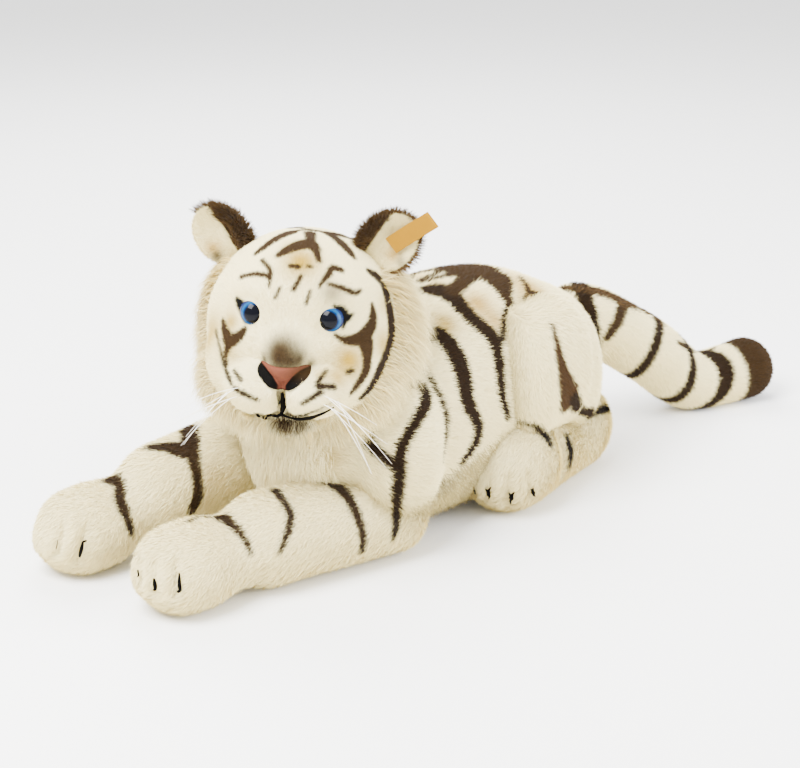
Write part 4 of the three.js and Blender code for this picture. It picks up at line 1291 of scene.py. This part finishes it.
mask = {"half": 64, "high": 58, "middle": 12}
ruffPile = {
    # where it starts and is full, against the face's edge and in millimetres from the head's middle
    "edge": (1.0, 1.05), "behind": (-16, -8), "top": (52, 40), "back": (68, 52), "foot": (-48, -40),
    "footSlope": 0.3, "comb": (1.1, 34, 0.5), "density": 2.8, "seed": 301,
    "length": 28, "longer": 14, "longerAcross": (-10, 40), "longerUp": (-40, 0), "shorter": 0.62,
    "shorterBack": (5, 50), "coat": ("white", ("cream", 0.6), ("gold", 0.1)), "goldReach": 0.05,
    "goldLeast": 0.35, "goldRandom": 0.65,
    "style": {"lift": 42, "curl": -0.3, "droop": 0.35, "width": 0.45 * mm, "stray": 0.35, "rootShadeTone": 0.95},
}


def maskShare(points):  # 1 on the face's own edge, less inside it, seen from the front of the head
    x, _, z = inHeadFrame(points).T
    return np.hypot(x / mask["half"], (z - mask["middle"]) / mask["high"])


def ruff(r):
    # Behind and outside the face's edge, combed out, down and back: gold beside the face, then cream.
    skin = skins["head"]
    x, y, z = inHeadFrame(skin["points"]).T
    keep = np.maximum(ease(*r["edge"], maskShare(skin["points"])), ease(*r["behind"], y))
    keep = keep * ease(*r["top"], z) * ease(*r["back"], y) * (skin["keep"] > 0)
    keep = keep * ease(*r["foot"], z + r["footSlope"] * np.abs(x))
    aside, back, upward = r["comb"]
    out = unit(np.stack([aside * x, back + 0 * x, z * upward - back], 1)) @ headTurn.T

    def coat(roots):
        colours = toned(*r["coat"])(roots)
        beside = np.exp(-np.maximum(maskShare(roots["points"]) - 1, 0) / r["goldReach"])
        beside = beside * (inHeadFrame(roots["points"])[:, 1] < 0)
        share = r["goldLeast"] + r["goldRandom"] * roots["rng"].random(len(colours))
        return mixed(colours, tints["gold"], beside * share)
    lengths = r["length"] + r["longer"] * ease(*r["longerAcross"], x) * ease(*r["longerUp"], z)
    lengths = lengths * (1 - r["shorter"] * ease(*r["shorterBack"], y)) * mm
    made = longPileOn("ruff", "head", out, keep, r["density"], r["seed"], coat, lengths=lengths, **r["style"])
    for piece in made:
        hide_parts("neck_ruff")


# Patches of long pile, each inside limits in millimetres that say where it starts and is full: x to
# either side, y and z along the carrier's own axes, and edge up from the belly's rising line. The
# comb is how it fans to the sides and how far it leans back for each step down.
patches = {
    "chest": {
        "on": "torso", "limits": (("y", -88, -104), ("z", 2, 10), ("x", 50, 38)), "comb": (0.006, -0.2),
        "density": 2.4, "seed": 302, "coat": ("white", ("cream", 0.3), ("gold", 0.18)),
        "style": {"length": 13 * mm, "lift": 22, "stray": 0.3, "rootShadeTone": 0.95},
    },
    "belly": {
        "on": "torso", "limits": (("edge", 4, -4), ("y", -90, -80), ("y", 60, 30)), "comb": (0.004, 0.7),
        # The grey and sable laid on the belly's cream are painted shade under the belly.
        "density": 2.0, "seed": 303, "coat": ("cream", ("grey", 1.0), ("sable", 0.5)),
        "style": {"length": 15 * mm, "lift": 22, "stray": 0.3},
    },
    "chin": {
        "on": "head", "limits": (("z", -35, -38), ("y", -20, -40), ("x", 48, 36)), "comb": (0.01, -0.3),
        "density": 3.0, "seed": 304, "coat": ("white", ("cream", 0.7)),
        "style": {"length": 15 * mm, "lift": 26, "stray": 0.3},
    },
}
bellyEdge = {"height": 48, "slope": 0.22, "start": -76, "run": 110}
chinShade = {"x": 3, "z": -39, "half": 15, "high": 7, "share": 1.6}


def longPatch(name, coat=None):
    # Pile where all of a patch's limits hold: the product of their shares.
    patch = patches[name]
    onFace = patch["on"] == "head"
    skin = skins[patch["on"]]
    x, y, z = (inHeadFrame(skin["points"]) if onFace else (skin["points"] - home) / mm).T
    b = bellyEdge
    edge = b["height"] + b["slope"] * np.clip(y - b["start"], 0, b["run"])
    measures = {"x": np.abs(x), "y": y, "z": z, "edge": z - edge}
    keep = (skin["keep"] > 0) * 1.0
    for measure, start, full in patch["limits"]:
        keep = keep * ease(start, full, measures[measure])
    fan, lean = patch["comb"]
    field = np.stack([x * fan, lean + 0 * x, -1 + 0 * x], 1)
    if onFace:
        field = field @ headTurn.T
    coat = coat or toned(*patch["coat"])
    return longPileOn(name, patch["on"], field, keep, patch["density"], patch["seed"], coat, **patch["style"])


def chinCoat(roots):
    # The patch's own coat, darkened under the lips by a bell.
    s = chinShade
    side, _, up = inHeadFrame(roots["points"]).T
    colours = toned(*patches["chin"]["coat"])(roots)
    dark = np.exp(-(((side - s["x"]) / s["half"]) ** 2) - ((up - s["z"]) / s["high"]) ** 2)
    return mixed(colours, tints["sable"], s["share"] * dark * (0.5 + 0.5 * roots["rng"].random(len(side))))


darkTones = ("bark", ("rust", 0.6), ("sable", 0.5))
tuft = {
    "start": 0.12, "back": (0.52, 0.6), "density": 3.4, "seed": 310,
    "style": {"length": 11 * mm, "lift": 34, "rootShadeTone": 0.8, "width": 0.6 * mm, "levels": 2, "curl": 0},
}
crest = {"feather": 3 * mm, "density": 3.0, "seed": 312, "style": {"length": 9 * mm, "lift": 30, "levels": 2}}


def earTufts(t):
    # Brown pile over each ear's inner strip and back, combed up and out past the rim.
    for seed, (side, sideName) in enumerate(sideNames.items(), t["seed"]):
        name = f"ear_{sideName}"
        skin = skins[name]
        front = earStrip(skin["points"], side) * (skin["along"] > t["start"])
        inner, _ = earPlace(skin["points"], side)
        back = ease(*t["back"], skin["along"]) * (inner > ear["backFrom"][side])
        keep = np.maximum(front, back) * (skin["keep"] > 0)
        longPileOn(f"{name}_tuft", name, skin["comb"], keep, t["density"], seed, toned(*darkTones),
                   slot="plush_brown", **t["style"])


def tailCrest(c):
    # Brown pile along the tail's first mark.
    lines = [line for found, _ in inks["tail"] for line in found][:1]
    keep = inkAt(skins["tail"]["points"], lines, c["feather"])
    longPileOn("tail_crest", "tail", skins["tail"]["comb"], keep, c["density"], c["seed"], toned(*darkTones),
               slot="plush_brown", **c["style"])


ruff(ruffPile)
longPatch("chest")
for piece in longPatch("belly"):
    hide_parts("belly_panel")
longPatch("chin", chinCoat)
earTufts(tuft)
tailCrest(crest)
print("long pile made")
for name in thread["raised"]:
    threads(name, thread)
print("stitches laid")


# Eyes: glossy balls with a blue ring round a dark pupil

eye = {
    "radius": 9.5, "rings": 90, "sides": 120, "gaze": (0.09, -1, 0.12), "turnIn": 0.07, "pupil": 0.62,
    "iris": 0.86, "edge": 0.04, "deepFrom": (0.8, 0.66), "fibre": 0.1, "fibres": (31, 13),
}


def ballSkin(centre, radius, axis, rings, sides):  # a ball whose first pole looks along the axis
    fall = np.linspace(0, np.pi, rings + 2)[1:-1]
    turn = np.linspace(0, 2 * np.pi, sides, endpoint=False)
    side = unit(np.cross(axis, (0, 0, 1)))
    rise = np.cross(side, axis)
    grid = (
        np.outer(np.cos(fall), np.ones(sides))[..., None] * axis
        + np.outer(np.sin(fall), np.cos(turn))[..., None] * side
        + np.outer(np.sin(fall), np.sin(turn))[..., None] * rise
    ) * radius + centre
    return skinFromGrid(grid, np.array([centre + axis * radius, centre - axis * radius]), fall / np.pi, turn)


def makeEye(side, e):
    # Coloured by how far a point lies from the gaze: the pupil, the iris's fibres, its dark rim.
    gaze = np.array(e["gaze"]) - np.array((side * e["turnIn"], 0, 0))
    axis = unit(headTurn @ gaze)
    skin = ballSkin(eyePlaces[side], e["radius"] * mm, axis, e["rings"], e["sides"])
    out = np.sin(np.clip(skin["along"], 0, 0.5) * np.pi)
    many, few = e["fibres"]
    fibre = 1 + e["fibre"] * np.sin(many * skin["around"]) * np.sin(few * skin["around"] + 1)
    blue = mixed(plainCoat("irisPale", len(out)), tints["irisDeep"], ease(*e["deepFrom"], out))
    coat = mixed(blue * fibre[:, None], tints["irisRim"], ease(e["iris"], e["iris"] + e["edge"], out))
    coat = mixed(coat, tints["pupil"], ease(e["pupil"] + e["edge"], e["pupil"], out))
    name = f"eye_{sideNames[side]}"
    ball = skinObject(f"{name}_ball", skin, coat, glass)
    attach(ball, "head")
    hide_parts(name)


glass = cleanMaterial("eyeGloss", 0.04, shine=0.09)
for side in sideNames:
    makeEye(side, eye)
print("eyes made")


# Nose: a small cushion of pink cloth with dark nostril seams, lying on the muzzle

nose = {
    "half": 27, "top": 0.8, "middle": -7.8, "fall": 9.6, "high": 4.6, "deep": 2, "rings": 80, "sides": 110,
    "nostrilPlace": (12, -7), "nostrilRadii": (5, 3), "nostrilDeep": 2,
    "seamFoot": -17.5, "seamSlope": 0.72, "seamWide": 8.5, "seamMiddle": 10, "seamReach": 9.5,
    "seamSoft": 1.2, "seamFrom": (1.2, 3.4), "clearFrom": (-12.5, -14.5),
    "squareAcross": 0.75, "squareUp": 0.7, "footHalf": 0.06, "roundness": 0.7, "ahead": -88,
    "frontTo": 1.5, "backFrom": 1.6, "shadow": 0.6, "shadowAcross": (-2, 12), "shadowUp": (-10, -2),
}


def makeNose(n):
    # A lens over the disc (c, s), squared and narrowed downward into a triangle, then carried on
    # rays from the middle of the head and lifted off the muzzle.
    fall = np.linspace(0, np.pi, n["rings"] + 2)[1:-1]
    turn = np.linspace(0, 2 * np.pi, n["sides"], endpoint=False)
    fall = np.concatenate([fall, [0, np.pi]])
    c = np.outer(np.sin(fall), np.cos(turn))
    s = np.outer(np.sin(fall), np.sin(turn))
    squareC = np.sign(c) * np.abs(c) ** n["squareAcross"]
    squareS = np.sign(s) * np.abs(s) ** n["squareUp"]
    x = squareC * (0.5 + 0.5 * squareS + n["footHalf"]) * n["half"]
    z = n["middle"] + n["fall"] * squareS + n["top"]
    lift = np.where(np.cos(fall) > 0, n["high"] * np.abs(np.cos(fall)) ** n["roundness"], 0 * fall)
    lift = lift - n["deep"] * (fall > n["backFrom"])
    nostril = mound(np.stack([np.abs(x), z], -1), np.array(n["nostrilPlace"]), np.array(n["nostrilRadii"]))
    nostril = nostril * (fall < n["frontTo"])[:, None]
    lift = np.broadcast_to(lift[:, None], x.shape) - n["nostrilDeep"] * nostril
    aim = unit(np.stack([x, np.full_like(x, n["ahead"]), z], -1)).reshape(-1, 3)
    points = aim * (headReach(aim, head) + lift.ravel() * mm)[:, None]
    grid = onHead(points).reshape(len(fall), len(turn), 3)
    skin = skinFromGrid(grid[:-2], grid[-2:, 0], fall[:-2] / np.pi, turn)
    px, _, pz = inHeadFrame(skin["points"]).T
    edge = pz - (n["seamFoot"] + n["seamSlope"] * np.abs(px))
    band = n["seamWide"] * mound(np.abs(px)[:, None], np.array([n["seamMiddle"]]), np.array([n["seamReach"]]))
    seam = np.maximum(ease(*n["seamFrom"], np.abs(px)), ease(*n["clearFrom"], pz))
    coat = mixed(plainCoat("pink", len(px)), tints["black"], ease(band + n["seamSoft"], band, edge) * seam)
    shadow = n["shadow"] * ease(*n["shadowAcross"], px) * ease(*n["shadowUp"], pz)
    coat = mixed(coat, tints["sable"], shadow)
    pad = skinObject("nose_pad", skin, coat, noseCloth)
    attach(pad, "head")
    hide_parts("nose")


noseCloth = cleanMaterial("noseCloth", 0.7, bump=0.5, bumpScale=1500, shine=0.03)
makeNose(nose)
print("nose made")


# Whiskers: stiff tapered strands

whisker = {
    "count": 7, "inRow": 4, "length": 56, "shortest": 0.7, "thick": 0.3, "taper": 0.75, "stations": 9,
    "rings": 26, "sides": 8, "seed": 71, "first": (25, -80, -13), "next": (2.5, 3, -1.5),
    "nextRow": (0, 0, -5), "sink": 1.5, "slopes": (4, 16, 6), "slopeSpread": 7, "ahead": -0.42,
    "aheadSpread": 0.2, "drops": (4, 11),
}


def strandOf(start, middle, tip, thick, w):
    # A tube along start(1-t)^2 + 2 middle t(1-t) + tip t^2 whose width falls toward the tip.
    t = np.linspace(0, 1, w["stations"])[:, None]
    path = start * (1 - t) ** 2 + 2 * middle * t * (1 - t) + tip * t**2
    halves = np.repeat(thick * (1 - w["taper"] * t), 2, axis=1)
    return tubeSkin(tubeRings(path, halves, (thick, thick / 2), w["rings"], w["sides"]))


def makeWhiskers(side, w):
    # Rows of roots on the muzzle, each strand sloping more than the one before it.
    rng = np.random.default_rng(w["seed"] + side)
    least, eachPlace, eachRow = w["slopes"]
    parts = []
    for k in range(w["count"]):
        row, place = divmod(k, w["inRow"])
        spot = np.array(w["first"]) + row * np.array(w["nextRow"]) + place * np.array(w["next"])
        aim = unit((spot * (side, 1, 1))[None])
        start = (aim * headReach(aim, head)[:, None])[0] - aim[0] * w["sink"] * mm
        spread = rng.uniform(-w["slopeSpread"], w["slopeSpread"])
        slope = np.radians(least + eachPlace * place + eachRow * row + spread)
        ahead = w["ahead"] + w["aheadSpread"] * rng.normal()
        out = unit(np.array((side * np.cos(slope), ahead, -np.sin(slope))))
        length = w["length"] * mm * rng.uniform(w["shortest"], 1)
        middle = start + out * length / 2
        tip = start + out * length + np.array((0, 0, -rng.uniform(*w["drops"]))) * mm
        parts.append(strandOf(*(onHead(place) for place in (start, middle, tip)), w["thick"] * mm, w))
    skin = joined(parts)
    name = f"whiskers_{sideNames[side]}"
    strands = skinObject(f"{name}_strands", skin, plainCoat("nylon", len(skin["points"])), nylon)
    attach(strands, "head")
    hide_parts(name)


nylon = cleanMaterial("whiskerNylon", 0.35, bumpScale=120)
for side in sideNames:
    makeWhiskers(side, whisker)
print("whiskers made")


# Ribbon: a blank folded tab sewn into the left ear's seam

ribbon = {
    "width": 12.5, "length": 39, "thick": 0.6, "fold": 0.7, "turn": 81, "lean": 17, "ahead": 7.2,
    "up": 20.2, "rings": 160, "sides": 40, "power": 7, "wave": 0.8, "waves": 1.3, "stations": 12,
    "bendStations": 5, "stitchPlace": 0.86, "stitchHalf": (0.05, 0.03), "stitches": 260,
    "stitchShare": 0.5, "ribs": 60, "ribWander": 0.6, "ribStrength": 0.6, "ribDepth": 0.0002,
}


def makeRibbon(r):
    # A flat profile carried out along one leaf, round the fold and back, with a slight wave.
    gap = (r["fold"] + r["thick"]) / 2
    run = np.linspace(0, r["length"] - gap, r["stations"])
    bend = np.linspace(-np.pi / 2, np.pi / 2, r["bendStations"] + 2)[1:-1]
    x = np.concatenate([run, run[-1] + gap * np.cos(bend), run[::-1]])
    y = np.concatenate([0 * run - gap, gap * np.sin(bend), 0 * run + gap])
    y = y + r["wave"] * np.sin(x / r["length"] * np.pi * r["waves"])
    path = np.stack([x, y, 0 * x], 1) * mm
    halves = np.repeat([[r["thick"] / 2, r["width"] / 2]], len(x), axis=0) * mm
    ends = (r["thick"] / 4 * mm,) * 2
    tube = tubeRings(path, halves, ends, r["rings"], r["sides"], r["power"])
    turn = earTurn(1)
    place = jointPlace("ear_left_fold") + turn @ (np.array((0, -r["ahead"], r["up"])) * mm)
    tube = setTube(tube, turn @ turnedBy(-r["turn"], "Y") @ turnedBy(-r["lean"], "Z"), place)
    skin = tubeSkin(tube)
    across = np.cos(skin["around"] - np.pi / 2)
    stitch = ease(*r["stitchHalf"], np.abs(np.abs(across) - r["stitchPlace"]))
    stitch = stitch * (np.sin(skin["along"] * r["stitches"]) > 0)
    coat = mixed(plainCoat("ribbon", len(across)), tints["thread"], r["stitchShare"] * stitch)
    tab = skinObject("ribbon_tab_cloth", skin, coat, ribbonWeave(r))
    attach(tab, "ear_left")
    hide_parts("ribbon_tab")


def ribbonWeave(r):
    # Fine ribs along the tab from its own map, as relief.
    material = cleanMaterial("ribbonWeave", 0.7, shine=0.1)
    nodes = material.node_tree.nodes
    own = nodes.new("ShaderNodeUVMap")
    own.uv_map = "OFBake"
    rib = nodes.new("ShaderNodeTexWave")
    rib.bands_direction = "Y"
    rib.inputs["Scale"].default_value = r["ribs"]
    rib.inputs["Distortion"].default_value = r["ribWander"]
    material.node_tree.links.new(own.outputs["UV"], rib.inputs["Vector"])
    addRelief(material, rib.outputs["Fac"], r["ribStrength"], r["ribDepth"])
    return material


makeRibbon(ribbon)
print("ribbon made")


# The washers behind the eyes keep their own solids

washerPlastic = cleanMaterial("washerPlastic", 0.4, colour=tints["plastic"], bump=0.2, bumpScale=300)
for sideName in sideNames.values():
    for holder in bpy.data.objects[f"eye_washer_{sideName}"].material_slots:
        holder.material = washerPlastic


# Floor and light

stage = {"size": 60, "colour": (0.96, 0.96, 0.95), "roughness": 0.9, "worldLight": 1.95}


def stageFloor(s):
    corners = np.array([(-1, -1, 0), (1, -1, 0), (1, 1, 0), (-1, 1, 0)]) * s["size"]
    floor = newMesh("floor", corners, [np.array([[0, 1, 2, 3]])])
    material = bpy.data.materials.new("paleFloor")
    material.use_nodes = True
    shader = material.node_tree.nodes["Principled BSDF"]
    shader.inputs["Base Color"].default_value = (*s["colour"], 1)
    shader.inputs["Roughness"].default_value = s["roughness"]
    floor.data.materials.append(material)


lights = {  # azimuth, elevation, distance and size in metres, watts
    "key": (5, 55, 1.6, 0.9, 112), "fill": (128, 14, 1.8, 1.2, 72), "rear": (-120, 50, 1.8, 1.2, 55),
}


def studioLight(name, azimuth, elevation, distance, size, watts):  # aimed where the camera looks
    data = bpy.data.lights.new(name, "AREA")
    data.energy = watts
    data.size = size
    lamp = bpy.data.objects.new(name, data)
    bpy.context.scene.collection.objects.link(lamp)
    back = wayTo(azimuth, elevation)
    lamp.location = np.array(cameraView["aim"]) + back * distance
    lamp.rotation_euler = facing(back)


stageFloor(stage)
for name, light in lights.items():
    studioLight(name, *light)
world = bpy.data.worlds.new("paleRoom")
world.use_nodes = True
world.node_tree.nodes["Background"].inputs["Color"].default_value = (1, 1, 1, 1)
world.node_tree.nodes["Background"].inputs["Strength"].default_value = stage["worldLight"]
bpy.context.scene.world = world
print("floor and lights made")
